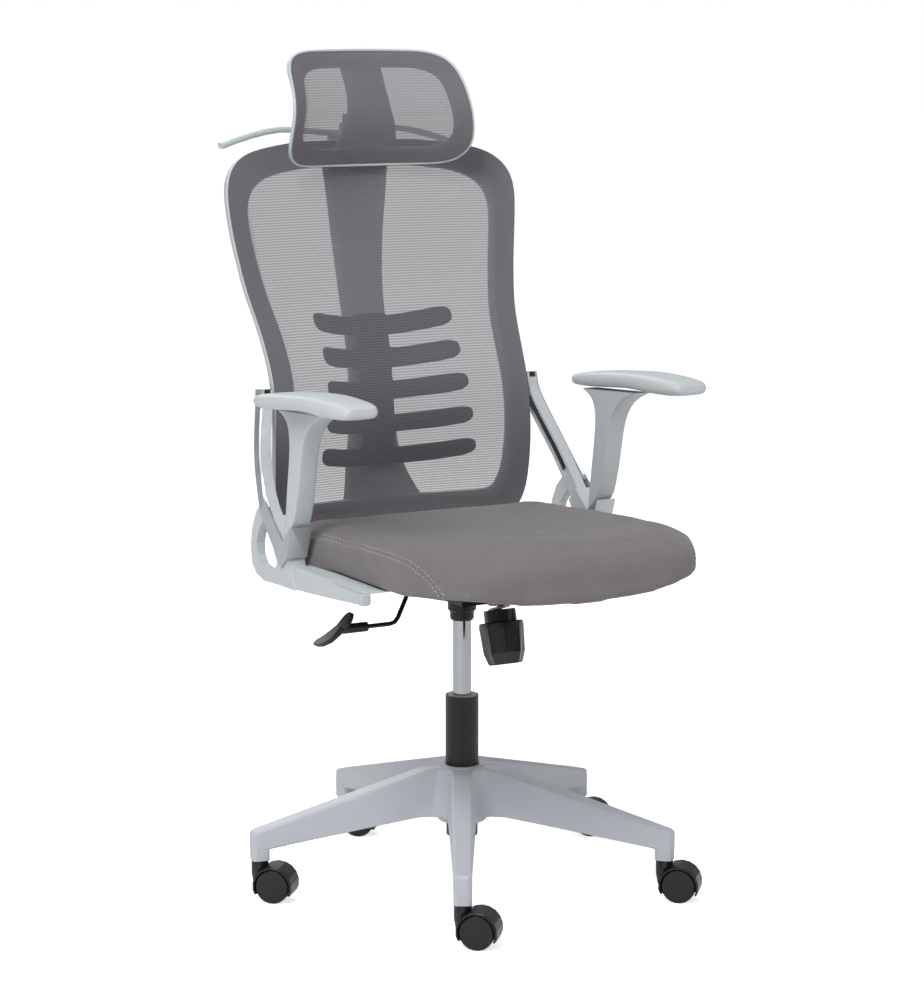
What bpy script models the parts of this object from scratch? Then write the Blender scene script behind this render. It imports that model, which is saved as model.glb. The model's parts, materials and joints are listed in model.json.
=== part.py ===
"""Mesh-backed office chair on a five-leg caster base, as separate named parts.

Frame: metres, +Z up, the sitter faces -Y and the sitter's left is +X.  The origin is
on the floor under the middle of the chair's outline.  Every part hangs from the empty
"chair", which stands on the axis of the gas lift, so x = y = 0 below is that axis.
"""
import math

import bmesh
import bpy
from mathutils import Matrix, Vector

# ---- driving dimensions, metres -------------------------------------------------
COLUMN_Y = -0.0268          # gas-lift axis measured from the chair's middle
GAP = 0.0003                # clearance between pieces that only touch

LEG_COUNT = 5
LEG_FIRST_ANGLE = math.radians(-118.5)
STEM_CIRCLE_R = 0.315       # caster stems stand on this circle
LEG_END = 0.3285
BOSS_HALF = 0.0132
BOSS_BOTTOM = 0.0610
HUB_TOP = 0.1810
HUB_BORE_R = 0.0257

WHEEL_SEGMENTS = 20
WHEEL_R = 0.0255
WHEEL_INNER = 0.0036
WHEEL_OUTER = 0.0218
AXLE_Z = WHEEL_R * math.cos(math.pi / WHEEL_SEGMENTS)
AXLE_R = 0.0030
TRAIL = 0.0240              # axle behind the stem
TRAIL_ANGLE = math.atan2(-0.665, 0.7465)
HOOD_R = 0.0302
HOOD_TOP = 0.0605
STEM_R = 0.0055

TUBE_R = 0.0250
TUBE_TOP = 0.2880
TUBE_BOTTOM = 0.0720
CYLINDER_R = 0.0140
CYLINDER_TOP = 0.4550
CYLINDER_BOTTOM = 0.1920
COLLAR_BOTTOM = 0.4030
ROD_R = 0.0040

PIVOT_Y = -0.0400           # tilt axis
PIVOT_Z = 0.4620
PIN_R = 0.0050
PLATE_BOTTOM = 0.4965
PLATE_TOP = 0.4997
KNOB_TILT = math.radians(14.0)
KNOB_TOP_Y = -0.1180
KNOB_TOP_Z = 0.4210

PAN_BOTTOM = 0.5000
PAN_TOP = 0.5095
SEAT_HALF_W = 0.2365
SEAT_FRONT = -0.3620
SEAT_REAR = 0.1620
SEAT_SIDE_BOTTOM = 0.5005
SEAT_SEAM = 0.5560
SEAT_LIP_BOTTOM = 0.4905
SEAT_CORNER_LIFT = 0.0150    # rise of the underside at the front corners
SEAT_REAR_DROP = 0.0140      # the sides reach lower behind the armrests
SEAT_SLOPE = 0.0190          # fall of the top from front to rear

ARM_X = 0.2575              # middle of the armrest column
COLUMN_HALF_T = 0.0150
PAD_X = 0.2690              # middle of the arm pad
BACK_BOTTOM = 0.5200
BACK_TOP = 1.1000
BACK_BORDER = 0.0360
HEAD_BOTTOM = 1.0660
HEAD_TOP = 1.2390
HANGER_Z = 1.1100

LEVER_X = -0.0340           # the height lever rocks in the housing's side wall
LEVER_Z = 0.4642

BAR_PATH = ((0.2585, 0.0560, 0.5230), (0.2600, 0.1080, 0.5720), (0.2545, 0.1450, 0.6200),
            (0.2430, 0.1740, 0.6650), (0.2310, 0.1950, 0.7080), (0.2270, 0.2010, 0.7400))
BAR_HALF_X = 0.0080
BAR_HALF_Y = 0.0125
TRIM_T = 0.0024

BACK_HALF = ((0.520, 0.1980), (0.535, 0.2110), (0.570, 0.2175), (0.600, 0.2190), (0.640, 0.2200),
             (0.720, 0.2176), (0.760, 0.2167), (0.800, 0.2185), (0.840, 0.2220), (0.880, 0.2300),
             (0.920, 0.2360), (0.960, 0.2420), (1.020, 0.2475), (1.050, 0.2430), (1.075, 0.2240),
             (1.092, 0.1850), (1.100, 0.1100))
BACK_FRONT = ((0.520, 0.193), (0.560, 0.185), (0.600, 0.179), (0.680, 0.176), (0.740, 0.184),
              (0.800, 0.211), (0.840, 0.2325), (0.880, 0.250), (0.920, 0.261), (0.960, 0.269),
              (1.040, 0.282), (1.100, 0.300))
BACK_STATIONS = (0.520, 0.530, 0.550, 0.575, 0.605, 0.640, 0.680, 0.720, 0.755, 0.785, 0.815, 0.845,
                 0.880, 0.920, 0.960, 1.000, 1.030, 1.055, 1.075, 1.090, 1.100)
# how far the middle lies behind the edges
BACK_HOLLOW = ((0.520, 0.038), (0.560, 0.031), (0.600, 0.024), (0.660, 0.014), (0.750, 0.013),
               (0.820, 0.018), (0.900, 0.028), (1.000, 0.038), (1.100, 0.045))
FRAME_DEPTH = 0.024
MESH_SEAT = 0.0046          # depth of the frame's front face behind the mesh's front
SPINE_FRONT = ((0.525, 0.2380), (0.545, 0.2430), (0.565, 0.2640), (0.585, 0.2790), (0.640, 0.2860),
               (0.720, 0.290), (0.800, 0.306), (0.860, 0.323), (0.950, 0.337), (1.030, 0.340),
               (1.080, 0.346))
SPINE_HALF = ((0.5250, 0.0820), (0.5500, 0.0680), (0.5800, 0.0560), (0.6300, 0.0440), (0.7000, 0.0390),
              (0.8500, 0.0380), (0.9500, 0.0450), (1.0300, 0.0540), (1.0850, 0.0600))
SPINE_BOTTOM = 0.5260
SPINE_TOP = 1.0850
SPINE_RINGS = 17
SPINE_EDGE = 0.006
SPINE_DEEP = 0.026
WEB_BOTTOM = 0.6040         # the lumbar support's centre web
WEB_TOP = 0.8340
WEB_HALF = 0.0260
WEB_AHEAD = 0.0195          # its front face ahead of the spine
WEB_DEEP = 0.0135
RIBS = ((0.833, 0.118), (0.783, 0.117), (0.734, 0.120), (0.682, 0.125), (0.631, 0.132))
RIB_AHEAD = 0.0150
RIB_CLEAR = 0.0110          # middle of a rib behind the mesh's front face
RIB_TALL = 0.0142           # half its height
RIB_THICK = 0.0036          # half its thickness
LUMBAR_SMILE = 0.018        # rise of a rib's ends over its middle

HEAD_HALF = ((1.066, 0.1200), (1.074, 0.1450), (1.090, 0.1555), (1.120, 0.1545), (1.160, 0.1485),
             (1.200, 0.1450), (1.222, 0.1400), (1.234, 0.1260), (1.239, 0.1000))
HEAD_FRONT = ((1.066, 0.268), (1.100, 0.248), (1.140, 0.236), (1.170, 0.240), (1.200, 0.262),
              (1.239, 0.292))
HEAD_HOLLOW = 0.045
HEAD_PIVOT_Y = 0.3420
HEAD_PIVOT_Z = 1.1320

LIGHT_GREY = ((0.47, 0.52, 0.54), 0.45, 0.0)
BASE_GREY = ((0.45, 0.48, 0.53), 0.45, 0.0)
BLACK = ((0.018, 0.018, 0.020), 0.45, 0.0)
GLOSS_BLACK = ((0.012, 0.012, 0.013), 0.25, 0.0)
STEEL = ((0.55, 0.55, 0.56), 0.35, 1.0)
CHROME = ((0.80, 0.80, 0.81), 0.10, 1.0)
SILVER = ((0.66, 0.67, 0.69), 0.30, 0.8)
MESH_GREY = ((0.16, 0.16, 0.18), 0.85, 0.0)
FABRIC_GREY = ((0.24, 0.235, 0.24), 0.90, 0.0)
FRAME_GREY = ((0.30, 0.31, 0.33), 0.50, 0.0)


# ---- helpers --------------------------------------------------------------------
def clear_scene():
    """Remove every object that the file starts with."""
    for thing in list(bpy.data.objects):
        bpy.data.objects.remove(thing, do_unlink=True)


def empty(name, location, parent=None):
    """Add an empty that stands on a joint or a reference point."""
    thing = bpy.data.objects.new(name, None)
    thing.location = location
    thing.parent = parent
    bpy.context.collection.objects.link(thing)
    return thing


def finish_material(name, finish):
    """Make one Principled material for one object."""
    colour, roughness, metallic = finish
    material = bpy.data.materials.new(name)
    material.use_nodes = True
    shader = material.node_tree.nodes["Principled BSDF"]
    shader.inputs["Base Color"].default_value = (*colour, 1.0)
    shader.inputs["Roughness"].default_value = roughness
    shader.inputs["Metallic"].default_value = metallic
    return material


def solid(name, shape, finish, parent, location=(0.0, 0.0, 0.0), smooth=35.0):
    """Make a named object from (vertices, faces), given about its own origin."""
    vertices, faces = shape
    mesh = bpy.data.meshes.new(name)
    mesh.from_pydata([tuple(v) for v in vertices], [], [tuple(f) for f in faces])
    mesh.validate()
    tidy = bmesh.new()
    tidy.from_mesh(mesh)
    bmesh.ops.recalc_face_normals(tidy, faces=tidy.faces)
    tidy.to_mesh(mesh)
    tidy.free()
    mesh.shade_smooth()
    mesh.set_sharp_from_angle(angle=math.radians(smooth))
    mesh.materials.append(finish_material(name, finish))
    thing = bpy.data.objects.new(name, mesh)
    thing.location = location
    thing.parent = parent
    bpy.context.collection.objects.link(thing)
    return thing


def guide(name, shape, parent, location=(0.0, 0.0, 0.0)):
    """Make a helper solid that another object is cut by or joined with."""
    thing = solid(name, shape, BLACK, parent, location)
    thing.hide_render = True
    thing.display_type = "WIRE"
    return thing


def combine(target, other, operation):
    """Add an exact Boolean of the other object to the target."""
    modifier = target.modifiers.new(other.name, "BOOLEAN")
    modifier.operation = operation
    modifier.solver = "EXACT"
    modifier.object = other


def bevel(target, width, segments=1, angle=40.0):
    """Round the sharp edges of an object."""
    modifier = target.modifiers.new("edges", "BEVEL")
    modifier.width = width
    modifier.segments = segments
    modifier.limit_method = "ANGLE"
    modifier.angle_limit = math.radians(angle)


def loft(rings, loop=False):
    """Skin rings of equally many points; a loop has no end caps."""
    count = len(rings[0])
    vertices = [Vector(p) for ring in rings for p in ring]
    faces = []
    spans = len(rings) if loop else len(rings) - 1
    for i in range(spans):
        here = i * count
        there = ((i + 1) % len(rings)) * count
        for j in range(count):
            k = (j + 1) % count
            faces.append((here + j, here + k, there + k, there + j))
    if not loop:
        faces.append(tuple(range(count)))
        faces.append(tuple(range((len(rings) - 1) * count, len(rings) * count)))
    return vertices, faces


def revolve(profile, segments, phase=0.5):
    """Turn a closed outline of (radius, height) points about Z; radius 0 is a pole."""
    vertices = []
    rows = []
    for radius, height in profile:
        if radius == 0.0:
            rows.append([len(vertices)] * segments)
            vertices.append(Vector((0.0, 0.0, height)))
            continue
        rows.append([len(vertices) + i for i in range(segments)])
        for i in range(segments):
            turn = 2.0 * math.pi * (i + phase) / segments
            vertices.append(Vector((radius * math.cos(turn), radius * math.sin(turn), height)))
    faces = []
    for i, row in enumerate(rows):
        other = rows[(i + 1) % len(rows)]
        if row[0] == row[1] and other[0] == other[1]:
            continue
        for j in range(segments):
            k = (j + 1) % segments
            corners = [row[j], row[k], other[k], other[j]]
            unique = list(dict.fromkeys(corners))
            faces.append(tuple(unique))
    return vertices, faces


def disc(radius, low, high, segments=16):
    """A plain upright cylinder."""
    return revolve([(0.0, low), (radius, low), (radius, high), (0.0, high)], segments)


def washer(inner, outer, low, high, segments=16):
    """A plain upright ring."""
    return revolve([(inner, low), (outer, low), (outer, high), (inner, high)], segments)


def turned(shape, matrix):
    """Move every point of a shape by a matrix."""
    vertices, faces = shape
    return [matrix @ v for v in vertices], faces


def lying(shape, axis):
    """Turn an upright shape so that its Z runs along X or Y."""
    matrix = Matrix.Rotation(math.radians(90.0), 4, "Y")
    if axis == "Y":
        matrix = Matrix.Rotation(math.radians(-90.0), 4, "X")
    return turned(shape, matrix)


def box(low, high):
    """An axis-aligned box from two corners."""
    (x0, y0, z0), (x1, y1, z1) = low, high
    lower = [(x0, y0, z0), (x1, y0, z0), (x1, y1, z0), (x0, y1, z0)]
    upper = [(x, y, z1) for x, y, z in lower[0:4]]
    return loft([lower, upper])


def side_prism(outline, x0, x1):
    """Extrude an outline of (y, z) points from x0 to x1."""
    return loft([[(x0, y, z) for y, z in outline], [(x1, y, z) for y, z in outline]])


def rounded_rectangle(half_a, half_b, radius, steps=3):
    """Points of a rounded rectangle, anticlockwise from its lower right corner."""
    points = []
    for corner, (sa, sb) in enumerate(((1, -1), (1, 1), (-1, 1), (-1, -1))):
        for i in range(steps + 1):
            turn = math.radians(-90.0 + 90.0 * corner + 90.0 * i / steps)
            a = sa * (half_a - radius) + radius * math.cos(turn)
            b = sb * (half_b - radius) + radius * math.sin(turn)
            points.append((a, b))
    return points


def smooth_path(points, steps):
    """Catmull-Rom curve through the points, steps to each span."""
    points = [Vector(p) for p in points]
    ends = [2 * points[0] - points[1]] + points + [2 * points[-1] - points[-2]]
    path = []
    for i in range(1, len(ends) - 2):
        a, b, c, d = ends[i - 1:i + 3]
        for j in range(steps):
            t = j / steps
            path.append(0.5 * (2 * b + (c - a) * t + (2 * a - 5 * b + 4 * c - d) * t * t
                               + (3 * b - a - 3 * c + d) * t ** 3))
    path.append(points[-1])
    return path


def sweep(path, section, side, loop=False):
    """Carry a section of (across, out) points along a path.

    side(i, tangent) gives the direction of the section's first coordinate.
    """
    rings = []
    total = len(path)
    for i, point in enumerate(path):
        before = path[(i - 1) % total] if loop or i > 0 else point
        after = path[(i + 1) % total] if loop or i < total - 1 else point
        tangent = (after - before).normalized()
        across = side(i, tangent)
        across = (across - across.dot(tangent) * tangent).normalized()
        out = tangent.cross(across)
        shape = section(i) if callable(section) else section
        rings.append([point + across * a + out * b for a, b in shape])
    return loft(rings, loop)


def mirror_x(shape):
    """Mirror a shape through the plane x = 0."""
    vertices, faces = shape
    return [Vector((-v[0], v[1], v[2])) for v in vertices], [tuple(reversed(f)) for f in faces]


def curve_value(table, z):
    """Read a smooth value at height z from a few (z, value) points."""
    if z <= table[0][0]:
        return table[0][1]
    for i in range(len(table) - 1):
        z0, v0 = table[i]
        z1, v1 = table[i + 1]
        if z <= z1:
            before = table[max(i - 1, 0)]
            after = table[min(i + 2, len(table) - 1)]
            m0 = (v1 - before[1]) / max(z1 - before[0], 1e-9) * (z1 - z0)
            m1 = (after[1] - v0) / max(after[0] - z0, 1e-9) * (z1 - z0)
            t = (z - z0) / (z1 - z0)
            return ((2 * t ** 3 - 3 * t * t + 1) * v0 + (t ** 3 - 2 * t * t + t) * m0
                    + (3 * t * t - 2 * t ** 3) * v1 + (t ** 3 - t * t) * m1)
    return table[-1][1]


# ---- base -----------------------------------------------------------------------
def leg_angle(index):
    """Direction of one leg."""
    return LEG_FIRST_ANGLE + index * 2.0 * math.pi / LEG_COUNT


def leg_half_width(along, low):
    """Half the width of a leg; low is 0 at its top face and 1 at its underside."""
    share = min(max((along - 0.060) / (LEG_END - 0.060), 0.0), 1.0)
    top = 0.0158 + (0.0135 - 0.0158) * share
    bottom = 0.0215 + (0.0135 - 0.0215) * min(share * 1.25, 1.0)
    return top + (bottom - top) * low


def star_outline(low, inset, start):
    """One closed outline round all five legs, with fillets between them."""
    stations = [start, 0.130, 0.200, 0.265, LEG_END - 0.006]
    fillet_steps = 4
    points = []
    for leg in range(LEG_COUNT):
        turn = Matrix.Rotation(leg_angle(leg), 2)
        half = [(s, leg_half_width(s, low) - inset) for s in stations]
        tip = (LEG_END - inset, leg_half_width(LEG_END, low) - 0.006)
        right = [(s, -w) for s, w in half] + [(tip[0], -tip[1])]
        left = [(tip[0], tip[1])] + [(s, w) for s, w in reversed(half)]
        points += [turn @ Vector(p) for p in right + left]
        next_turn = Matrix.Rotation(leg_angle(leg + 1), 2)
        p0 = turn @ Vector((half[0][0], half[0][1]))
        p2 = next_turn @ Vector((half[0][0], -half[0][1]))
        bisector = Matrix.Rotation(leg_angle(leg) + math.pi / LEG_COUNT, 2) @ Vector((1.0, 0.0))
        p1 = bisector * (half[0][1] / math.sin(math.pi / LEG_COUNT))
        for i in range(1, fillet_steps):
            t = i / fillet_steps
            points.append((1 - t) ** 2 * p0 + 2 * t * (1 - t) * p1 + t * t * p2)
    return points


def top_height(radius):
    """Height of the legs' top faces."""
    return min(HUB_TOP, 0.1825 - (radius - 0.047) * 0.2800)


def under_height(radius):
    """Height of the legs' undersides."""
    return min(0.1080, 0.1100 - (radius - 0.064) * 0.1350)


def make_base(chair):
    """Five-leg star with a tapered hub bore, caster sockets and hollow undersides."""
    levels = [(0.0, 0.0030, 0.0), (0.0, 0.0, 0.0030), (1.0, 0.0, -0.0025), (1.0, 0.0025, 0.0)]
    rings = []
    for low, inset, drop in levels:
        ring = []
        for p in star_outline(low, inset, 0.062 + 0.012 * low):
            height = top_height(p.length) - drop
            if low:
                height = under_height(p.length) - drop
            ring.append((p.x, p.y, height))
        rings.append(ring)
    count = len(rings[0])
    vertices, faces = loft(rings)
    faces = faces[:-2]
    faces += star_cap(rings[0], vertices, 0, HUB_TOP)
    faces += star_cap(rings[3], vertices, 3 * count, 0.1080)
    star = solid("base_star", (vertices, faces), BASE_GREY, chair, smooth=30.0)
    hub = revolve([(0.0, 0.0960), (0.0360, 0.0960), (0.0385, 0.1000), (0.0385, 0.1400),
                   (0.0330, HUB_TOP + 0.0008), (0.0, HUB_TOP + 0.0008)], 30)
    combine(star, guide("hub_core", hub, chair), "UNION")
    for leg in range(LEG_COUNT):
        turn = Matrix.Rotation(leg_angle(leg), 4, "Z")
        boss = [(STEM_CIRCLE_R + a, b) for a, b in rounded_rectangle(BOSS_HALF, BOSS_HALF, 0.006, 2)]
        shape = loft([[(a, b, z) for a, b in boss] for z in (BOSS_BOTTOM, 0.0950)])
        combine(star, guide(f"boss_{leg + 1}", turned(shape, turn), chair), "UNION")
    for leg in range(LEG_COUNT):
        turn = Matrix.Rotation(leg_angle(leg), 4, "Z")
        for number, (r0, r1) in enumerate(((0.085, 0.150), (0.155, 0.215), (0.220, 0.285))):
            combine(star, guide(f"pocket_{leg + 1}_{number + 1}", turned(leg_pocket(r0, r1), turn), chair),
                    "DIFFERENCE")
        place = turn @ Vector((STEM_CIRCLE_R, 0.0, 0.0))
        socket = disc(STEM_R + 0.0004, BOSS_BOTTOM - 0.002, 0.0960, 12)
        combine(star, guide(f"socket_{leg + 1}", socket, chair, place), "DIFFERENCE")
    bore = revolve([(0.0, 0.0900), (0.0246, 0.0900), (HUB_BORE_R, HUB_TOP + 0.004),
                    (0.0, HUB_TOP + 0.004)], 24)
    combine(star, guide("hub_bore", bore, chair), "DIFFERENCE")
    return star


def star_cap(ring, vertices, first, height):
    """Close the top or the underside: strips along the legs and a fan in the hub."""
    per_leg = len(ring) // LEG_COUNT
    side = 6
    faces = []
    centre = len(vertices)
    vertices.append(Vector((0.0, 0.0, height)))
    for leg in range(LEG_COUNT):
        base = first + leg * per_leg
        for i in range(side - 1):
            faces.append((base + i, base + i + 1, base + 2 * side - 2 - i, base + 2 * side - 1 - i))
        faces.append((base, base + 2 * side - 1, centre))
        for i in range(2 * side - 1, per_leg):
            after = first + (leg * per_leg + i + 1) % len(ring)
            faces.append((base + i, after, centre))
    return faces


def leg_pocket(r0, r1):
    """Hollow under a leg between two ribs, open downwards."""
    rings = []
    for radius in (r0, r1):
        half = leg_half_width(radius, 0.75) - 0.0048
        top = top_height(radius) - 0.0065
        low = under_height(radius) - 0.010
        rings.append([(radius, -half, low), (radius, half, low), (radius, half * 0.8, top),
                      (radius, -half * 0.8, top)])
    return loft(rings)


# ---- casters --------------------------------------------------------------------
def make_caster(number, chair):
    """Twin-wheel caster: hood, steel stem, axle and two wheels."""
    turn = Matrix.Rotation(leg_angle(number - 1), 4, "Z")
    place = turn @ Vector((STEM_CIRCLE_R, 0.0, 0.0))
    swivel = empty(f"caster_{number}_swivel", place, chair)
    swivel.rotation_euler = (0.0, 0.0, TRAIL_ANGLE)
    name = f"caster_{number}"
    hood = solid(f"{name}_hood", revolve([(0.0, 0.0140), (0.0055, 0.0140), (0.0100, 0.0240),
                                          (0.0128, 0.0400), (0.0128, HOOD_TOP), (0.0, HOOD_TOP)], 14),
                 GLOSS_BLACK, swivel)
    cover = revolve([(0.0, -0.0216), (HOOD_R - 0.0010, -0.0216), (HOOD_R, -0.0206), (HOOD_R, 0.0206),
                     (HOOD_R - 0.0010, 0.0216), (0.0, 0.0216)], 18)
    combine(hood, guide(f"{name}_cover", lying(cover, "Y"), swivel, (TRAIL, 0.0, AXLE_Z)), "UNION")
    low = box((-0.03, -0.03, -0.03), (0.07, 0.03, 0.0130))
    combine(hood, guide(f"{name}_trim", low, swivel), "DIFFERENCE")
    for side in (-1.0, 1.0):
        inner, outer = sorted((side * 0.0026, side * 0.0300))
        pocket = lying(disc(WHEEL_R + 0.0016, inner, outer, 16), "Y")
        combine(hood, guide(f"{name}_pocket_{'ab'[side > 0]}", pocket, swivel, (TRAIL, 0.0, AXLE_Z)),
                "DIFFERENCE")
    bore = lying(disc(AXLE_R + 0.0003, -0.0100, 0.0100, 10), "Y")
    combine(hood, guide(f"{name}_axle_bore", bore, swivel, (TRAIL, 0.0, AXLE_Z)), "DIFFERENCE")
    combine(hood, guide(f"{name}_stem_bore", disc(STEM_R + 0.0003, 0.0400, 0.0700, 12), swivel),
            "DIFFERENCE")
    solid(f"{name}_stem", disc(STEM_R, 0.0404, 0.0940, 12), STEEL, swivel)
    solid(f"{name}_axle", lying(disc(AXLE_R, -0.0180, 0.0180, 10), "Y"), STEEL, swivel,
          (TRAIL, 0.0, AXLE_Z))
    for side, letter in ((-1.0, "a"), (1.0, "b")):
        profile = [(0.0, WHEEL_OUTER), (0.0, 0.0186), (AXLE_R + 0.0004, 0.0186),
                   (AXLE_R + 0.0004, WHEEL_INNER), (0.0240, WHEEL_INNER), (WHEEL_R, 0.0050),
                   (WHEEL_R, 0.0198), (0.0238, WHEEL_OUTER)]
        profile = [(r, side * z) for r, z in profile]
        solid(f"{name}_wheel_{letter}", lying(revolve(profile, WHEEL_SEGMENTS), "Y"), BLACK,
              swivel, (TRAIL, 0.0, AXLE_Z))


# ---- gas lift -------------------------------------------------------------------
def make_gas_lift(chair):
    """Outer tube with its bushing, gas cylinder, piston rod, bearing, clip and valve pin."""
    tube = [(0.0235, TUBE_TOP), (0.0235, 0.0765), (0.0056, 0.0765), (0.0056, TUBE_BOTTOM),
            (0.0236, TUBE_BOTTOM), (TUBE_R, 0.1790), (TUBE_R, TUBE_TOP)]
    solid("gas_outer_tube", revolve(tube, 24), BLACK, chair)
    bushing = [(CYLINDER_R + GAP, 0.2895), (CYLINDER_R + GAP, 0.2250), (0.0232, 0.2250),
               (0.0232, 0.2860), (0.0215, 0.2895)]
    solid("guide_bushing", revolve(bushing, 24), LIGHT_GREY, chair)
    rod = [(0.0, 0.0640), (ROD_R, 0.0640), (ROD_R, 0.0862), (0.0090, 0.0862), (0.0090, 0.0890),
           (ROD_R, 0.0890), (ROD_R, 0.2000), (0.0118, 0.2000), (0.0118, 0.2110), (0.0, 0.2110)]
    solid("piston_rod", revolve(rod, 12), STEEL, chair)
    solid("thrust_bearing", washer(ROD_R + 0.0005, 0.0120, 0.0768, 0.0859), STEEL, chair)
    solid("retaining_clip", washer(ROD_R + 0.0003, 0.0095, 0.0690, 0.0714, 12), STEEL, chair)
    cylinder = [(0.0048, CYLINDER_BOTTOM), (CYLINDER_R, CYLINDER_BOTTOM), (CYLINDER_R, 0.4080),
                (0.0131, CYLINDER_TOP), (0.0040, CYLINDER_TOP), (0.0040, 0.4450), (0.0124, 0.4400),
                (0.0124, 0.1960), (0.0048, 0.1960)]
    solid("gas_cylinder", revolve(cylinder, 24), CHROME, chair)
    solid("valve_button", disc(0.0034, 0.4465, 0.4600, 10), STEEL, chair)


# ---- tilt mechanism -------------------------------------------------------------
def make_mechanism(chair):
    """Cast housing on the gas cylinder, tilt pin, spring, height lever and upper plate."""
    housing = solid("mechanism_housing", box((-0.0340, -0.0620, 0.4360), (0.0340, 0.0360, 0.4720)),
                    BLACK, chair)
    collar = revolve([(0.0, COLLAR_BOTTOM), (0.0165, COLLAR_BOTTOM), (0.0180, 0.4060),
                      (0.0180, 0.4150), (0.0215, 0.4190), (0.0215, 0.4400), (0.0, 0.4400)], 20)
    combine(housing, guide("collar", collar, chair), "UNION")
    tongue = box((-0.0300, -0.1400, 0.4740), (0.0300, -0.0500, 0.4780))
    combine(housing, guide("tongue", tongue, chair), "UNION")
    for side in (-1.0, 1.0):
        x0, x1 = sorted((side * 0.0270, side * 0.0300))
        rib = side_prism([(-0.1350, 0.4730), (-0.0600, 0.4500), (-0.0500, 0.4500), (-0.0500, 0.4770),
                          (-0.1350, 0.4770)], x0, x1)
        combine(housing, guide(f"rib_{'rl'[side > 0]}", rib, chair), "UNION")
    bridge = box((-0.0340, -0.0640, 0.4600), (0.0340, -0.0480, 0.4780))
    combine(housing, guide("bridge", bridge, chair), "UNION")
    bore = revolve([(0.0, 0.4000), (0.0145, 0.4000), (0.0145, 0.4080), (0.0136, 0.4560),
                    (0.0, 0.4560)], 24)
    combine(housing, guide("taper_bore", bore, chair), "DIFFERENCE")
    pin_bore = lying(disc(PIN_R + 0.0003, -0.0500, 0.0500, 14), "X")
    combine(housing, guide("pin_bore", pin_bore, chair, (0.0, PIVOT_Y, PIVOT_Z)), "DIFFERENCE")
    slot = [(a, b - 0.1045) for a, b in rounded_rectangle(0.0075, 0.0145, 0.0070, 2)]
    slot_cut = loft([[(a, b, z) for a, b in slot] for z in (0.4700, 0.4820)])
    combine(housing, guide("bolt_slot", slot_cut, chair), "DIFFERENCE")
    lever_slot = box((-0.0360, -0.0048, 0.4557), (0.0080, 0.0048, 0.4740))
    combine(housing, guide("lever_slot", lever_slot, chair), "DIFFERENCE")
    solid("tilt_pin", lying(disc(PIN_R, -0.0470, 0.0470, 14), "X"), STEEL, chair,
          (0.0, PIVOT_Y, PIVOT_Z))
    make_lever(chair)
    make_upper_plate(chair)
    make_tension_knob(chair)


def make_lever(chair):
    """Height lever: bent rod with a moulded bow-tie paddle."""
    pivot = empty("lever_axis", (LEVER_X, 0.0, LEVER_Z), chair)
    path = [Vector(p) for p in ((0.0370, 0.0, 0.0), (-0.0450, 0.0, 0.0), (-0.0560, -0.0030, -0.0060),
                                (-0.0850, -0.0220, -0.0420), (-0.0920, -0.0250, -0.0480),
                                (-0.1000, -0.0250, -0.0500), (-0.1540, -0.0250, -0.0500))]
    ring = [(0.0034 * math.cos(math.pi * i / 4), 0.0034 * math.sin(math.pi * i / 4)) for i in range(8)]
    solid("lever_rod", sweep(path, ring, lambda i, t: Vector((0.0, 1.0, 0.0))), BLACK, pivot)
    centre = (-0.1600, -0.0250, -0.0500)
    barrel = lying(disc(0.0072, -0.0220, 0.0220, 12), "X")
    paddle = solid("lever_paddle", barrel, BLACK, pivot, centre)
    combine(paddle, guide("bow_tie", bow_tie_shape(), pivot, centre), "UNION")
    hole = lying(disc(0.0040, 0.0, 0.0260, 10), "X")
    combine(paddle, guide("rod_hole", hole, pivot, centre), "DIFFERENCE")


def bow_tie_shape():
    """Finger grip at the end of the lever: a bent blade, waisted where it meets the barrel."""
    path = [Vector((x, 0.0, z)) for x, z in ((-0.0025, 0.0225), (-0.0060, 0.0180), (-0.0120, 0.0100),
                                             (-0.0200, 0.0020), (-0.0300, -0.0050), (-0.0410, -0.0120),
                                             (-0.0540, -0.0170), (-0.0610, -0.0185))]
    halves = (0.0060, 0.0105, 0.0125, 0.0105, 0.0125, 0.0150, 0.0140, 0.0080)
    thicks = (0.0022, 0.0034, 0.0046, 0.0056, 0.0046, 0.0038, 0.0032, 0.0020)
    sections = [rounded_rectangle(half, thick, thick * 0.8, 1) for half, thick in zip(halves, thicks)]
    return sweep(path, lambda i: sections[i], lambda i, t: Vector((0.0, 1.0, 0.0)))


def make_upper_plate(chair):
    """Pressed plate under the seat with two ears that hang on the tilt pin."""
    outline = [(x, y - 0.0175) for x, y in rounded_rectangle(0.0900, 0.1325, 0.0150, 2)]
    plate = solid("seat_plate", loft([[(x, y, z) for x, y in outline] for z in (PLATE_BOTTOM, PLATE_TOP)]),
                  BLACK, chair)
    for side in (-1.0, 1.0):
        x0, x1 = sorted((side * 0.0375, side * 0.0410))
        ear = side_prism([(-0.0750, PLATE_BOTTOM + 0.001), (-0.0550, 0.4500), (-0.0250, 0.4500),
                          (-0.0050, PLATE_BOTTOM + 0.001)], x0, x1)
        combine(plate, guide(f"ear_{'rl'[side > 0]}", ear, chair), "UNION")
    ear_bore = lying(disc(PIN_R + 0.0003, -0.0500, 0.0500, 14), "X")
    combine(plate, guide("ear_bore", ear_bore, chair, (0.0, PIVOT_Y, PIVOT_Z)), "DIFFERENCE")


def knob_place(height):
    """A point on the knob's axis, height metres above the knob's top rim."""
    return (0.0, KNOB_TOP_Y + height * math.sin(KNOB_TILT), KNOB_TOP_Z + height * math.cos(KNOB_TILT))


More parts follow.
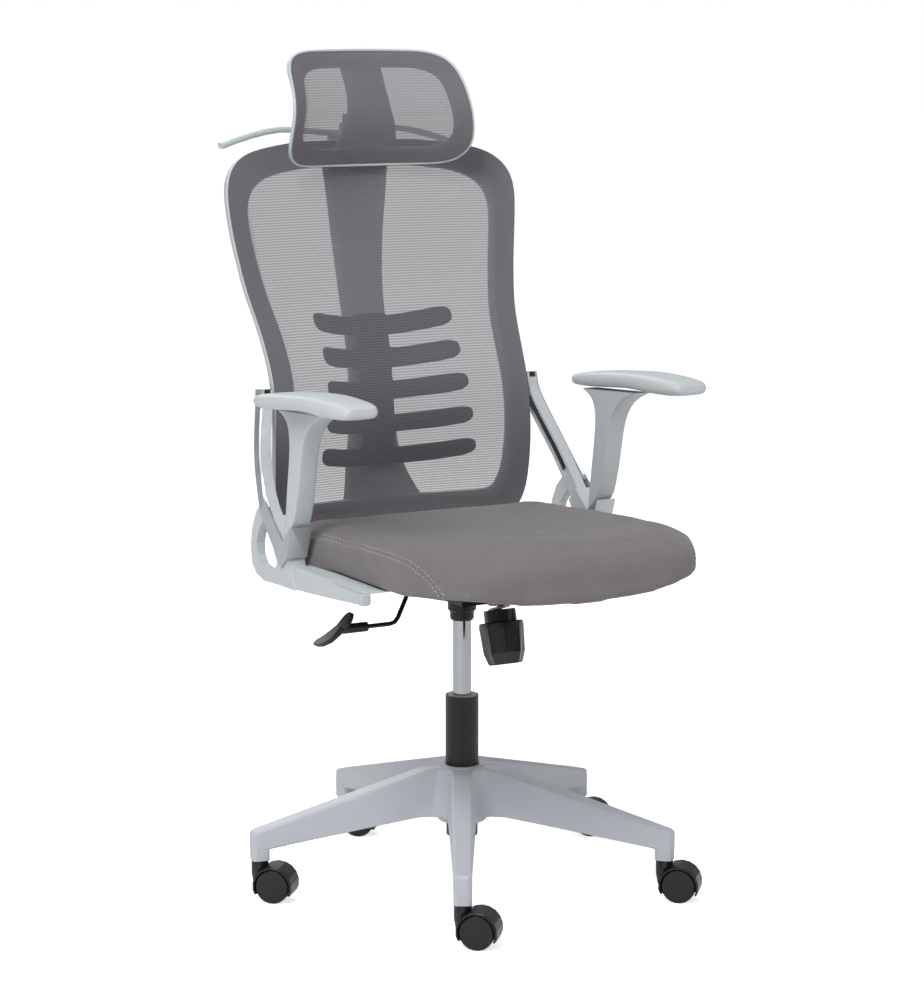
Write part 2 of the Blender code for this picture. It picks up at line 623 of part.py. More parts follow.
def make_tension_knob(chair):
    """Tension bolt, its cross-head in the plate, coil spring, washer and ribbed knob."""
    axis = empty("knob_axis", knob_place(0.0), chair)
    axis.rotation_euler = (-KNOB_TILT, 0.0, 0.0)
    solid("tension_bolt", revolve([(0.0, -0.0500), (0.0040, -0.0500), (0.0040, 0.0690), (0.0105, 0.0690),
                                   (0.0105, 0.0735), (0.0, 0.0735)], 12), STEEL, axis)
    solid("spring_washer", washer(0.0046, 0.0190, -0.0006, 0.0018, 20), STEEL, axis)
    turns = 4.5
    wire = 0.0021
    steps = int(turns * 12)
    low = 0.0018 + GAP + wire
    high = 0.0500 - wire
    path = []
    for i in range(steps + 1):
        turn = 2.0 * math.pi * turns * i / steps
        rise = low + (high - low) * i / steps
        path.append(Vector((0.0150 * math.cos(turn), 0.0150 * math.sin(turn), rise)))
    ring = [(wire * math.cos(math.pi * i / 3), wire * math.sin(math.pi * i / 3)) for i in range(6)]
    solid("tension_spring", sweep(path, ring, lambda i, t: Vector((0.0, 0.0, 1.0))), STEEL, axis)
    knob = solid("tension_knob", knob_shape(), GLOSS_BLACK, axis, smooth=20.0)
    combine(knob, guide("spring_cup", disc(0.0205, -0.0012, 0.0300, 20), axis), "DIFFERENCE")
    combine(knob, guide("thread_bore", disc(0.0046, -0.0560, 0.0100, 12), axis), "DIFFERENCE")


def knob_shape():
    """Knob body with eight tapering flats, a waisted neck above it."""
    segments = 32
    rings = []
    for height, round_r, flat in ((-0.0620, 0.0235, 0.9), (-0.0600, 0.0255, 0.9), (-0.0450, 0.0305, 0.9),
                                  (-0.0080, 0.0330, 0.5), (-0.0010, 0.0325, 0.2), (0.0, 0.0305, 0.0),
                                  (0.0002, 0.0238, 0.0), (0.0180, 0.0234, 0.0)):
        ring = []
        for i in range(segments):
            turn = 2.0 * math.pi * i / segments
            wedge = (turn + math.pi / 8) % (math.pi / 4) - math.pi / 8
            octagon = math.cos(math.pi / 8) / math.cos(wedge)
            radius = round_r * (1.0 - flat * (1.0 - octagon) * 1.5)
            ring.append((radius * math.cos(turn), radius * math.sin(turn), height))
        rings.append(ring)
    return loft(rings)


# ---- seat -----------------------------------------------------------------------
def seat_outline(grow, steps=5):
    """Seat outline: rounded front corners, tighter rear corners; grow moves it outwards."""
    half = SEAT_HALF_W + grow
    front = SEAT_FRONT - grow
    rear = SEAT_REAR + grow
    front_r = 0.115
    rear_r = 0.050
    corners = ((half - front_r, front + front_r, front_r, -90.0), (half - rear_r, rear - rear_r, rear_r, 0.0),
               (-half + rear_r, rear - rear_r, rear_r, 90.0), (-half + front_r, front + front_r, front_r, 180.0))
    arcs = []
    for x, y, radius, start in corners:
        turns = [math.radians(start + 90.0 * i / steps) for i in range(steps + 1)]
        arcs.append([(x + radius * math.cos(turn), y + radius * math.sin(turn)) for turn in turns])
    points = []
    for i, arc in enumerate(arcs):
        p = arc[-1]
        q = arcs[(i + 1) % len(arcs)][0]
        points += arc
        for j in range(1, 5):
            points.append((p[0] + (q[0] - p[0]) * j / 5, p[1] + (q[1] - p[1]) * j / 5))
    return points


def front_share(y):
    """How far a point lies in the waterfall front, from 0 to 1."""
    return min(max((-0.225 - y) / 0.135, 0.0), 1.0)


def seat_ring(grow, base, front_base, low=0.0, high=0.0):
    """Outline ring whose height falls from base to front_base in the waterfall front.

    low is how much a ring takes part in the underside's rising corners and lower rear;
    high is how much it follows the top's slope down to the rear.
    """
    ring = []
    for x, y in seat_outline(grow):
        share = front_share(y)
        bow = 0.012 * (1.0 - (x / SEAT_HALF_W) ** 2) * share
        corner = SEAT_CORNER_LIFT * min(abs(x) / 0.16, 1.0) ** 2.5 * share
        rear = SEAT_REAR_DROP * min(max((y + 0.030) / 0.060, 0.0), 1.0)
        slope = 0.006 - SEAT_SLOPE * min(max((y + 0.200) / 0.350, 0.0), 1.0)
        height = base + (front_base - base) * share ** 2 + low * (corner - rear) + high * slope
        ring.append((x, y - bow, height))
    return ring


def make_seat(chair):
    """Seat cushion over a moulded seat pan."""
    rings = [
        seat_ring(-0.0260, PAN_TOP + GAP, PAN_TOP + GAP),
        seat_ring(-0.0255, SEAT_SIDE_BOTTOM, 0.4950, 1.0),
        seat_ring(-0.0090, SEAT_SIDE_BOTTOM, SEAT_LIP_BOTTOM, 1.0),
        seat_ring(-0.0010, 0.5070, 0.4955, 0.9),
        seat_ring(0.0000, 0.5260, 0.5090, 0.5, 0.3),
        seat_ring(-0.0010, 0.5440, 0.5220, 0.1, 0.7),
        seat_ring(-0.0070, SEAT_SEAM, 0.5380, 0.0, 1.0),
        seat_ring(-0.0250, 0.5600, 0.5490, 0.0, 1.0),
        seat_ring(-0.0700, 0.5580, 0.5560, 0.0, 1.0),
        seat_ring(-0.1400, 0.5540, 0.5570, 0.0, 1.0),
    ]
    solid("seat_cushion", loft(rings), FABRIC_GREY, chair, smooth=80.0)
    pan = [seat_ring(-0.0300, PAN_BOTTOM + GAP, PAN_BOTTOM + GAP), seat_ring(-0.0300, PAN_TOP, PAN_TOP)]
    solid("seat_pan", loft(pan), BLACK, chair)


# ---- side frames and armrests ---------------------------------------------------
def side_name(side):
    """Suffix for the sitter's left (+1) or right (-1)."""
    return "l" if side > 0 else "r"


def placed(shape, side):
    """Shapes are drawn for the sitter's left; the right one is their mirror."""
    return shape if side > 0 else mirror_x(shape)


def bar_side(index, tangent):
    """The diagonal bar's section stays square to X."""
    return Vector((1.0, 0.0, 0.0))


def make_side_frame(side, chair):
    """Under-seat foot, bottom rail, rear loop, V joint and diagonal bar in one moulding."""
    tag = side_name(side)
    rail = [(-0.1900, 0.4850), (-0.1900, 0.4998), (-0.1000, 0.5000), (-0.0900, 0.5050), (0.0050, 0.5050),
            (0.0280, 0.5060), (0.0350, 0.5120), (0.0300, 0.5350), (0.0600, 0.5400), (0.0800, 0.5300),
            (0.0740, 0.5060), (0.0880, 0.4890), (0.1200, 0.4850), (0.1380, 0.4890), (0.1490, 0.5010),
            (0.1510, 0.5180), (0.1420, 0.5400), (0.1200, 0.5620), (0.1300, 0.5850), (0.1530, 0.5640),
            (0.1670, 0.5380), (0.1720, 0.5100), (0.1680, 0.4850), (0.1520, 0.4710), (0.1260, 0.4650),
            (0.0600, 0.4680), (-0.0500, 0.4745)]
    frame = solid(f"side_frame_{tag}", placed(side_prism(rail, 0.2525, 0.2665), side), LIGHT_GREY, chair)
    v_base = [(0.0080, 0.4710), (0.0270, 0.4960), (0.0325, 0.5140), (0.0150, 0.5610), (0.0420, 0.5390),
              (0.0800, 0.5700), (0.1000, 0.5500), (0.0700, 0.5060), (0.0600, 0.4900), (0.0560, 0.4700)]
    combine(frame, guide(f"v_base_{tag}", placed(side_prism(v_base, 0.2440, 0.2720), side), chair), "UNION")
    path = smooth_path(BAR_PATH, 3)
    section = [(-BAR_HALF_X, -BAR_HALF_Y), (BAR_HALF_X, -BAR_HALF_Y), (BAR_HALF_X, BAR_HALF_Y),
               (-BAR_HALF_X, BAR_HALF_Y)]
    bar = sweep(path, section, bar_side)
    combine(frame, guide(f"bar_{tag}", placed(bar, side), chair), "UNION")
    foot = box((0.1900, -0.1500, 0.4925), (0.2600, -0.0700, 0.4996))
    combine(frame, guide(f"foot_{tag}", placed(foot, side), chair), "UNION")
    inner = [(-BAR_HALF_X - 0.004, -0.0075), (-0.0030, -0.0075), (-0.0030, 0.0075),
             (-BAR_HALF_X - 0.004, 0.0075)]
    channel = sweep(path[4:-2], inner, bar_side)
    combine(frame, guide(f"channel_{tag}", placed(channel, side), chair), "DIFFERENCE")
    make_trim(side, chair)
    make_armrest(side, chair)


def make_trim(side, chair):
    """Satin silver cover: a band round the foot of the armrest and a strip up the bar."""
    tag = side_name(side)
    low = BAR_HALF_X + GAP
    high = low + TRIM_T
    swell = (0.0043, 0.0022, 0.0006)

    def section(i):
        """The strip is thicker where it runs out of the band."""
        out = high + (swell[i] if i < len(swell) else 0.0)
        return [(low, -BAR_HALF_Y), (out, -BAR_HALF_Y + 0.002), (out, BAR_HALF_Y - 0.002), (low, BAR_HALF_Y)]

    shape = sweep(smooth_path(BAR_PATH, 3)[3:], section, bar_side)
    trim = solid(f"trim_{tag}", placed(shape, side), SILVER, chair)
    outer = [(0.0290, 0.5150), (0.0120, 0.5620), (0.0420, 0.5380), (0.0780, 0.5680), (0.1020, 0.5880),
             (0.1200, 0.5720), (0.0900, 0.5400), (0.0480, 0.4980)]
    plate = side_prism(outer, 0.2729, 0.2753)
    combine(trim, guide(f"band_side_{tag}", placed(plate, side), chair), "UNION")
    front = side_prism([(0.0321, 0.5143), (0.0146, 0.5613), (0.0117, 0.5625), (0.0290, 0.5143)],
                       0.2415, 0.2740)
    combine(trim, guide(f"band_front_{tag}", placed(front, side), chair), "UNION")
    inner = side_prism([(0.0290, 0.5143), (0.0117, 0.5625), (0.0290, 0.5480), (0.0390, 0.5110)],
                       0.2415, 0.2437)
    combine(trim, guide(f"band_inner_{tag}", placed(inner, side), chair), "UNION")


def make_armrest(side, chair):
    """T-shaped column and the pad that caps it."""
    tag = side_name(side)
    rear = [(0.0430, 0.5400), (0.0370, 0.5800), (0.0300, 0.6250), (0.0230, 0.6650), (0.0220, 0.6900),
            (0.0250, 0.7060), (0.0330, 0.7170), (0.0460, 0.7240), (0.0640, 0.7290)]
    front = [(-0.0980, 0.7390), (-0.0800, 0.7330), (-0.0560, 0.7240), (-0.0360, 0.7090), (-0.0230, 0.6900),
             (-0.0160, 0.6680), (-0.0110, 0.6450), (-0.0040, 0.6100), (0.0060, 0.5800), (0.0130, 0.5640)]
    outline = [(y, z + 0.0003) for y, z in rear + front]
    column = side_prism(outline, ARM_X - COLUMN_HALF_T, ARM_X + COLUMN_HALF_T)
    thing = solid(f"arm_column_{tag}", placed(column, side), LIGHT_GREY, chair)
    bevel(thing, 0.0050, 2)
    solid(f"arm_pad_{tag}", placed(pad_shape(), side), LIGHT_GREY, chair, smooth=60.0)


def pad_shape():
    """Armrest pad: thin at the rear, deeper and tapering at the front."""
    stations = ((0.0920, 0.0230, 0.7370, 0.7440), (0.0880, 0.0300, 0.7325, 0.7490),
                (0.0700, 0.0345, 0.7315, 0.7535), (0.0200, 0.0355, 0.7345, 0.7595),
                (-0.0400, 0.0360, 0.7405, 0.7650), (-0.0800, 0.0360, 0.7435, 0.7680),
                (-0.1200, 0.0350, 0.7425, 0.7690), (-0.1600, 0.0330, 0.7425, 0.7685),
                (-0.1880, 0.0310, 0.7440, 0.7675), (-0.2050, 0.0270, 0.7465, 0.7655),
                (-0.2090, 0.0210, 0.7500, 0.7625))
    rings = []
    for y, half, low, high in stations:
        middle = (low + high) / 2.0
        rise = (high - low) / 2.0
        section = rounded_rectangle(half, rise, min(rise * 0.85, 0.0095), 2)
        rings.append([(PAD_X + a, y, middle + b) for a, b in section])
    return loft(rings)


# ---- back -----------------------------------------------------------------------


def back_point(x, z, depth=0.0):
    """A point on the back's curved front surface, depth metres behind it."""
    edge = curve_value(BACK_FRONT, z)
    half = curve_value(BACK_HALF, min(max(z, 0.580), 1.020))
    hollow = curve_value(BACK_HOLLOW, z)
    return Vector((x, edge + hollow * (1.0 - (x / half) ** 2) + depth, z))


def closed_outline(half_side):
    """Mirror the +X side of an outline and divide its straight top and bottom."""
    low_x, low_z = half_side[0]
    high_x, high_z = half_side[-1]
    across = (0.75, 0.5, 0.25, 0.0, -0.25, -0.5, -0.75)
    top = [(high_x * t, high_z) for t in across]
    bottom = [(-low_x * t, low_z) for t in across]
    return half_side + top + [(-x, z) for x, z in reversed(half_side)] + bottom


def back_outline(inset):
    """Points (x, z) round the back, inset from its outer edge."""
    half_side = []
    for full in BACK_STATIONS:
        share = (full - BACK_BOTTOM) / (BACK_TOP - BACK_BOTTOM)
        z = BACK_BOTTOM + inset + (BACK_TOP - BACK_BOTTOM - 2.0 * inset) * share
        half_side.append((curve_value(BACK_HALF, full) - inset, z))
    return closed_outline(half_side)


def make_back(chair):
    """Ring frame with its spine, the stretched mesh and the lumbar support."""
    outer = back_outline(0.0)
    inner = back_outline(BACK_BORDER)
    deep = back_outline(BACK_BORDER + 0.002)
    edge = back_outline(0.002)
    rings = [[back_point(x, z, MESH_SEAT) for x, z in outer],
             [back_point(x, z, MESH_SEAT) for x, z in inner],
             [back_point(x, z, FRAME_DEPTH * 0.6) for x, z in deep],
             [back_point(x, z, FRAME_DEPTH) for x, z in edge]]
    frame = solid("back_frame", loft(rings, loop=True), LIGHT_GREY, chair, smooth=60.0)
    combine(frame, guide("spine", spine_shape(), chair), "UNION")
    make_back_mesh(chair)
    make_lumbar(chair)


def make_back_mesh(chair):
    """Elastic mesh stretched over the front of the frame, a thin curved sheet."""
    columns = 10
    front = []
    for z in BACK_STATIONS:
        half = curve_value(BACK_HALF, z) - 0.0010
        row = [back_point(half * (2.0 * j / columns - 1.0), z) for j in range(columns + 1)]
        front.append(row)
    solid("back_mesh", plate_shape(front, 0.0014), MESH_GREY, chair, smooth=80.0)


def plate_shape(rows, thickness):
    """Closed thin plate from a grid of front points, thickened towards +Y."""
    height = len(rows)
    width = len(rows[0])
    vertices = [Vector(p) for row in rows for p in row]
    vertices += [Vector(p) + Vector((0.0, thickness, 0.0)) for row in rows for p in row]
    offset = height * width
    faces = []
    for i in range(height - 1):
        for j in range(width - 1):
            a = i * width + j
            quad = (a, a + 1, a + width + 1, a + width)
            faces.append(quad)
            faces.append(tuple(reversed([q + offset for q in quad])))
    border = [j for j in range(width)]
    border += [i * width + width - 1 for i in range(1, height)]
    border += [(height - 1) * width + j for j in range(width - 2, -1, -1)]
    border += [i * width for i in range(height - 2, 0, -1)]
    for i, a in enumerate(border):
        b = border[(i + 1) % len(border)]
        faces.append((b, a, a + offset, b + offset))
    return vertices, faces


def spine_y(z):
    """Front face of the spine, behind the mesh."""
    return curve_value(SPINE_FRONT, z)


def spine_shape():
    """Upright spine that widens into the frame's top and bottom borders."""
    rings = []
    for i in range(SPINE_RINGS):
        z = SPINE_BOTTOM + (SPINE_TOP - SPINE_BOTTOM) * i / (SPINE_RINGS - 1)
        half = curve_value(SPINE_HALF, z)
        y = spine_y(z)
        rings.append([(-half, y + SPINE_EDGE, z), (-half * 0.6, y, z), (half * 0.6, y, z),
                      (half, y + SPINE_EDGE, z),
                      (half * 0.8, y + SPINE_DEEP, z), (-half * 0.8, y + SPINE_DEEP, z)])
    return loft(rings)


def make_lumbar(chair):
    """Lumbar carriage with five bowed rib pairs on a centre web."""
    web = []
    for i in range(8):
        z = WEB_BOTTOM + (WEB_TOP - WEB_BOTTOM) * i / 7
        y = spine_y(z) - WEB_AHEAD
        web.append([(-WEB_HALF, y, z), (WEB_HALF, y, z), (WEB_HALF, y + WEB_DEEP, z),
                    (-WEB_HALF, y + WEB_DEEP, z)])
    lumbar = solid("lumbar_support", loft(web), FRAME_GREY, chair, smooth=50.0)
    for number, (z, half) in enumerate(RIBS):
        combine(lumbar, guide(f"rib_{number + 1}", rib_shape(z, half), chair), "UNION")


def rib_shape(z, half):
    """One bowed rib with blunt rounded ends; its section leans with the mesh in front of it."""
    rings = []
    for t in (-1.0, -0.97, -0.90, -0.70, -0.45, -0.20, 0.0, 0.20, 0.45, 0.70, 0.90, 0.97, 1.0):
        rise = z - LUMBAR_SMILE * (1.0 - abs(t) ** 1.8)
        centre = spine_y(rise) - RIB_AHEAD
        tip = back_point(half, z, RIB_CLEAR).y
        y = max(centre + (tip - centre) * abs(t) ** 1.5, back_point(half * t, rise, RIB_CLEAR).y)
        high = back_point(half * t, rise + RIB_TALL, 0.0).y
        low = back_point(half * t, rise - RIB_TALL, 0.0).y
        lean = (high - low) / (2.0 * RIB_TALL)
        tall = RIB_TALL * math.sqrt(1.0 - 0.72 * (max(abs(t) - 0.90, 0.0) / 0.10) ** 2)
        section = rounded_rectangle(RIB_THICK, tall, RIB_THICK * 0.8, 1)
        rings.append([(half * t, y + a + lean * b, rise + b) for a, b in section])
    return loft(rings)


# ---- headrest and hanger --------------------------------------------------------


def head_point(x, z, depth=0.0):
    """A point on the headrest's front surface, depth metres behind it."""
    edge = curve_value(HEAD_FRONT, z)
    return Vector((x, edge + HEAD_HOLLOW * (1.0 - (x / 0.155) ** 2) + depth, z))


def head_outline(inset, count=9):
    """Points (x, z) round the headrest, inset from its outer edge."""
    half_side = []
    for i in range(count + 1):
        t = 0.5 - 0.5 * math.cos(math.pi * i / count)
        z = HEAD_BOTTOM + inset + (HEAD_TOP - HEAD_BOTTOM - 2 * inset) * t
        full = HEAD_BOTTOM + (HEAD_TOP - HEAD_BOTTOM) * t
        half_side.append((curve_value(HEAD_HALF, full) - inset, z))
    return closed_outline(half_side)


def make_headrest(chair):
    """Headrest ring with a web behind its mesh, on a sliding post."""
    rings = [[head_point(x, z, 0.0048) for x, z in head_outline(0.0008)],
             [head_point(x, z, 0.0048) for x, z in head_outline(0.0240)],
             [head_point(x, z, 0.0100) for x, z in head_outline(0.0260)],
             [head_point(x, z, 0.0190) for x, z in head_outline(0.0040)],
             [head_point(x, z, 0.0150) for x, z in head_outline(0.0)]]
    frame = solid("headrest_frame", loft(rings, loop=True), LIGHT_GREY, chair, smooth=50.0)
    web = []
    for z, half in ((1.0760, 0.0560), (1.1200, 0.0460), (1.1500, 0.0360), (1.1900, 0.0340), (1.2280, 0.0340)):
        y = head_point(0.0, z, 0.0095).y
        web.append([(-half, y, z), (half, y, z), (half, y + 0.0080, z), (-half, y + 0.0080, z)])
    combine(frame, guide("head_web", loft(web), chair), "UNION")
    lug = box((-0.0200, 0.2920, 1.1200), (0.0200, HEAD_PIVOT_Y + 0.010, 1.1440))
    combine(frame, guide("head_lug", lug, chair), "UNION")
    gap = box((-0.0085, 0.3260, 1.1100), (0.0085, HEAD_PIVOT_Y + 0.020, 1.1550))
    combine(frame, guide("head_gap", gap, chair), "DIFFERENCE")
    bore = lying(disc(0.0033, -0.03, 0.03, 12), "X")
    combine(frame, guide("head_bore", bore, chair, (0.0, HEAD_PIVOT_Y, HEAD_PIVOT_Z)), "DIFFERENCE")
    rows = []
    for i in range(9):
        t = 0.5 - 0.5 * math.cos(math.pi * i / 8)
        z = HEAD_BOTTOM + 0.0022 + (HEAD_TOP - HEAD_BOTTOM - 0.0044) * t
        half = curve_value(HEAD_HALF, HEAD_BOTTOM + (HEAD_TOP - HEAD_BOTTOM) * t) - 0.0024
        rows.append([head_point(half * (j / 3.0 - 1.0), z) for j in range(7)])
    solid("headrest_mesh", plate_shape(rows, 0.0014), MESH_GREY, chair, smooth=80.0)
    make_head_post(chair)


def make_head_post(chair):
    """Flat post in a guide behind the spine, its pivot pin and the coat hanger."""
    blade = side_prism([(0.3784, 0.9700), (0.3844, 0.9700), (0.3944, 1.0950), (0.3860, 1.1260),
                        (0.3440, 1.1380), (0.3360, 1.1330), (0.3400, 1.1250), (0.3790, 1.1160),
                        (0.3884, 1.0950)], -0.0080, 0.0080)
    post = solid("headrest_post", blade, LIGHT_GREY, chair)
    block = box((-0.0200, 0.3712, 1.0140), (0.0200, 0.4017, 1.0720))
    sleeve = solid("headrest_guide", block, BLACK, chair)
    slot = side_prism([(0.3797, 0.9990), (0.3873, 0.9990), (0.3945, 1.0890), (0.3869, 1.0890)],
                      -0.0084, 0.0084)
    combine(sleeve, guide("blade_slot", slot, chair), "DIFFERENCE")
    trunnion = lying(disc(0.0030, -0.0180, 0.0180, 12), "X")
    combine(post, guide("trunnion", trunnion, chair, (0.0, HEAD_PIVOT_Y, HEAD_PIVOT_Z)), "UNION")
    path = []
    for i in range(17):
        t = -1.0 + i / 8.0
        rise = 0.008 * math.sin(math.pi * 0.5 * min(abs(t) / 0.55, 1.0) ** 1.3)
        z = HANGER_Z + rise - 0.024 * (max(abs(t) - 0.45, 0.0) / 0.55) ** 1.6
        path.append(Vector((0.2000 * t, 0.4180 - 0.006 * abs(t), z)))
    section = rounded_rectangle(0.0095, 0.0048, 0.0040, 2)
    rail = sweep(path, section, lambda i, t: Vector((0.0, 1.0, 0.0)))
    hanger = solid("coat_hanger", rail, LIGHT_GREY, chair)
    arm = side_prism([(0.4020, 1.0200), (0.4080, 1.0200), (0.4220, 1.1080), (0.4140, 1.1080)],
                     -0.0120, 0.0120)
    combine(hanger, guide("hanger_arm", arm, chair), "UNION")


def main():
    """Build the whole chair."""
    clear_scene()
    chair = empty("chair", (0.0, COLUMN_Y, 0.0))
    make_base(chair)
    for number in range(1, LEG_COUNT + 1):
        make_caster(number, chair)
    make_gas_lift(chair)
    make_mechanism(chair)
    make_seat(chair)
    for side in (-1.0, 1.0):
        make_side_frame(side, chair)
    make_back(chair)
    make_headrest(chair)


main()
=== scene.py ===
"""Mesh-backed office chair: finishes, soft goods, small fittings, light and camera.

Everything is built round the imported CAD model, in metres, in its own frame.
"""
from __future__ import annotations

import json
import logging
import math
from dataclasses import dataclass, field
from enum import Enum

import bmesh
import bpy
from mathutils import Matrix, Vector
from mathutils.bvhtree import BVHTree
from mathutils.kdtree import KDTree

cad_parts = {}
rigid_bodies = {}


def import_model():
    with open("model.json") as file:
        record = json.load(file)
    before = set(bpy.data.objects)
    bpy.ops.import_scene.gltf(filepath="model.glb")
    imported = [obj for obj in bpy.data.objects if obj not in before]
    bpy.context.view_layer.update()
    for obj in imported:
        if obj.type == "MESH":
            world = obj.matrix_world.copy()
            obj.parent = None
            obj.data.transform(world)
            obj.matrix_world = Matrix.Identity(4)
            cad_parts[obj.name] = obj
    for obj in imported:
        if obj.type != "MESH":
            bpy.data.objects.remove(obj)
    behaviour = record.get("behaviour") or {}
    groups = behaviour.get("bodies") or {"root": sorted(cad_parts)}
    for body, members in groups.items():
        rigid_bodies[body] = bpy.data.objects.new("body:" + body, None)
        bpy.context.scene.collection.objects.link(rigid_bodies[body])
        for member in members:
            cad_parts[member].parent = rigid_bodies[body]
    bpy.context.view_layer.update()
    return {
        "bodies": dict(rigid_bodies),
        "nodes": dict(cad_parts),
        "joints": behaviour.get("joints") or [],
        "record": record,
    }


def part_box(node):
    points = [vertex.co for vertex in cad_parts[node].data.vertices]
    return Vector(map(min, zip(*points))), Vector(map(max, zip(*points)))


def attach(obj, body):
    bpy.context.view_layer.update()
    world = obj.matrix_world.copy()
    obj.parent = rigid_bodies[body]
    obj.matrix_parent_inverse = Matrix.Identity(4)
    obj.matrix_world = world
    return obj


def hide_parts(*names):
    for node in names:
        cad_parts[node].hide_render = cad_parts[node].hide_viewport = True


LOG = logging.getLogger("chair")
MM = 0.001
WELD_DISTANCE = 0.00001     # points closer than this are one point
CASTERS = range(1, 6)

Point = tuple[float, float, float]


# ---- nodes and finishes ----------------------------------------------------------
def linear(hex_colour: str) -> tuple[float, float, float, float]:
    """Turn an sRGB hex colour into linear light.

    Args:
        hex_colour: six hex digits, with or without a leading #.

    Returns:
        Linear red, green, blue and an alpha of 1.
    """
    digits = hex_colour.lstrip("#")
    channels = [int(digits[i:i + 2], 16) / 255.0 for i in (0, 2, 4)]
    bent = [c / 12.92 if c <= 0.04045 else ((c + 0.055) / 1.055) ** 2.4 for c in channels]
    return (bent[0], bent[1], bent[2], 1.0)


def add_node(tree: bpy.types.NodeTree, kind: str, settings: dict | None = None,
             inputs: dict | None = None) -> bpy.types.Node:
    """Add one node with its settings, values and incoming links.

    Args:
        tree: the node tree that gets the node.
        kind: the node's type name without "ShaderNode".
        settings: attributes to set on the node.
        inputs: for each input socket, a value or the output socket that feeds it.

    Returns:
        The new node.
    """
    node = tree.nodes.new("ShaderNode" + kind)
    for key, value in (settings or {}).items():
        setattr(node, key, value)
    for key, value in (inputs or {}).items():
        if isinstance(value, bpy.types.NodeSocket):
            tree.links.new(value, node.inputs[key])
        else:
            node.inputs[key].default_value = value
    return node


class Slot(Enum):
    """Material slots of the record."""

    BASE = "base_nylon"
    LIGHT = "light_grey_nylon"
    PAD = "arm_pad"
    DARK = "dark_grey_nylon"
    BLACK = "black_nylon"
    GLOSS = "black_gloss"
    WHEEL = "wheel_nylon"
    PAINT = "black_paint"
    STEEL = "steel"
    CHROME = "chrome"
    SILVER = "silver_trim"
    MESH = "mesh"
    SEAT = "seat_fabric"


@dataclass(frozen=True)
class Finish:
    """What every finish has: a name, a colour and how its surface takes light."""

    name: str
    slot: Slot
    colour: str
    roughness: float
    metallic: float = 0.0
    ior: float = 1.5

    def start(self) -> tuple[bpy.types.Material, bpy.types.NodeTree, bpy.types.Node, bpy.types.NodeSocket]:
        """Make the material with its plain numbers set.

        Returns:
            The material, its tree, its shader and the coordinate socket in metres.
        """
        material = bpy.data.materials.new(self.name)
        material.use_nodes = True
        tree = material.node_tree
        shader = tree.nodes["Principled BSDF"]
        shader.inputs["Base Color"].default_value = linear(self.colour)
        shader.inputs["Roughness"].default_value = self.roughness
        shader.inputs["Metallic"].default_value = self.metallic
        if self.metallic < 0.5:
            shader.inputs["IOR"].default_value = self.ior
        place = add_node(tree, "TexCoord").outputs["Object"]
        return material, tree, shader, place

    def vary(self, tree: bpy.types.NodeTree, shader: bpy.types.Node, place: bpy.types.NodeSocket,
             size: float, spread: float) -> None:
        """Let the colour and the gloss drift a little over the surface.

        Args:
            tree: the material's tree.
            shader: its shader.
            place: the coordinate socket.
            size: width of a drift, metres.
            spread: share by which the colour lightens and darkens.
        """
        cloud = add_node(tree, "TexNoise", inputs={"Vector": place, "Scale": 1.0 / size, "Detail": 3.0})
        low, high = [tuple(c * k for c in linear(self.colour)[:3]) + (1.0,) for k in (1 - spread, 1 + spread)]
        tint = add_node(tree, "Mix", {"data_type": "RGBA"},
                        {"Factor": cloud.outputs["Fac"], "A": low, "B": high})
        tree.links.new(tint.outputs["Result"], shader.inputs["Base Color"])
        rough = add_node(tree, "MapRange", inputs={"Value": cloud.outputs["Fac"],
                                                   "To Min": self.roughness - 0.05,
                                                   "To Max": self.roughness + 0.07})
        tree.links.new(rough.outputs["Result"], shader.inputs["Roughness"])

    def raise_surface(self, tree: bpy.types.NodeTree, shader: bpy.types.Node,
                      height: bpy.types.NodeSocket, depth: float) -> None:
        """Feed a height pattern to the shader's normal.

        Args:
            tree: the material's tree.
            shader: its shader.
            height: the pattern, from 0 to 1.
            depth: real depth of the pattern, metres.
        """
        bump = add_node(tree, "Bump", inputs={"Height": height, "Distance": depth, "Strength": 1.0})
        tree.links.new(bump.outputs["Normal"], shader.inputs["Normal"])

    def build(self) -> bpy.types.Material:
        """Make a plain version; the kinds below add their own pattern.

        Returns:
            The finished material.
        """
        material, tree, shader, place = self.start()
        self.vary(tree, shader, place, 0.05, 0.03)
        return material


@dataclass(frozen=True)
class Moulded(Finish):
    """Injection-moulded plastic: the mould's spark-eroded grain breaks up the shine."""

    grain: float = 0.8 * MM
    depth: float = 0.03 * MM

    def build(self) -> bpy.types.Material:
        """Make the material with its fine mould grain.

        Returns:
            The finished material.
        """
        material, tree, shader, place = self.start()
        self.vary(tree, shader, place, 0.08, 0.025)
        grit = add_node(tree, "TexNoise", inputs={"Vector": place, "Scale": 1.0 / self.grain, "Detail": 2.0})
        self.raise_surface(tree, shader, grit.outputs["Fac"], self.depth)
        return material


@dataclass(frozen=True)
class Plated(Finish):
    """Drawn steel under plating: fine lines run round the part from the polishing belt."""

    line: float = 0.35 * MM
    depth: float = 0.004 * MM

    def build(self) -> bpy.types.Material:
        """Make the material with faint polishing lines.

        Returns:
            The finished material.
        """
        material, tree, shader, place = self.start()
        self.vary(tree, shader, place, 0.03, 0.02)
        stretch = add_node(tree, "Mapping", inputs={"Vector": place, "Scale": (1.0, 1.0, 12.0)})
        lines = add_node(tree, "TexNoise", inputs={"Vector": stretch.outputs["Vector"],
                                                   "Scale": 0.08 / self.line, "Detail": 2.0})
        self.raise_surface(tree, shader, lines.outputs["Fac"], self.depth)
        return material


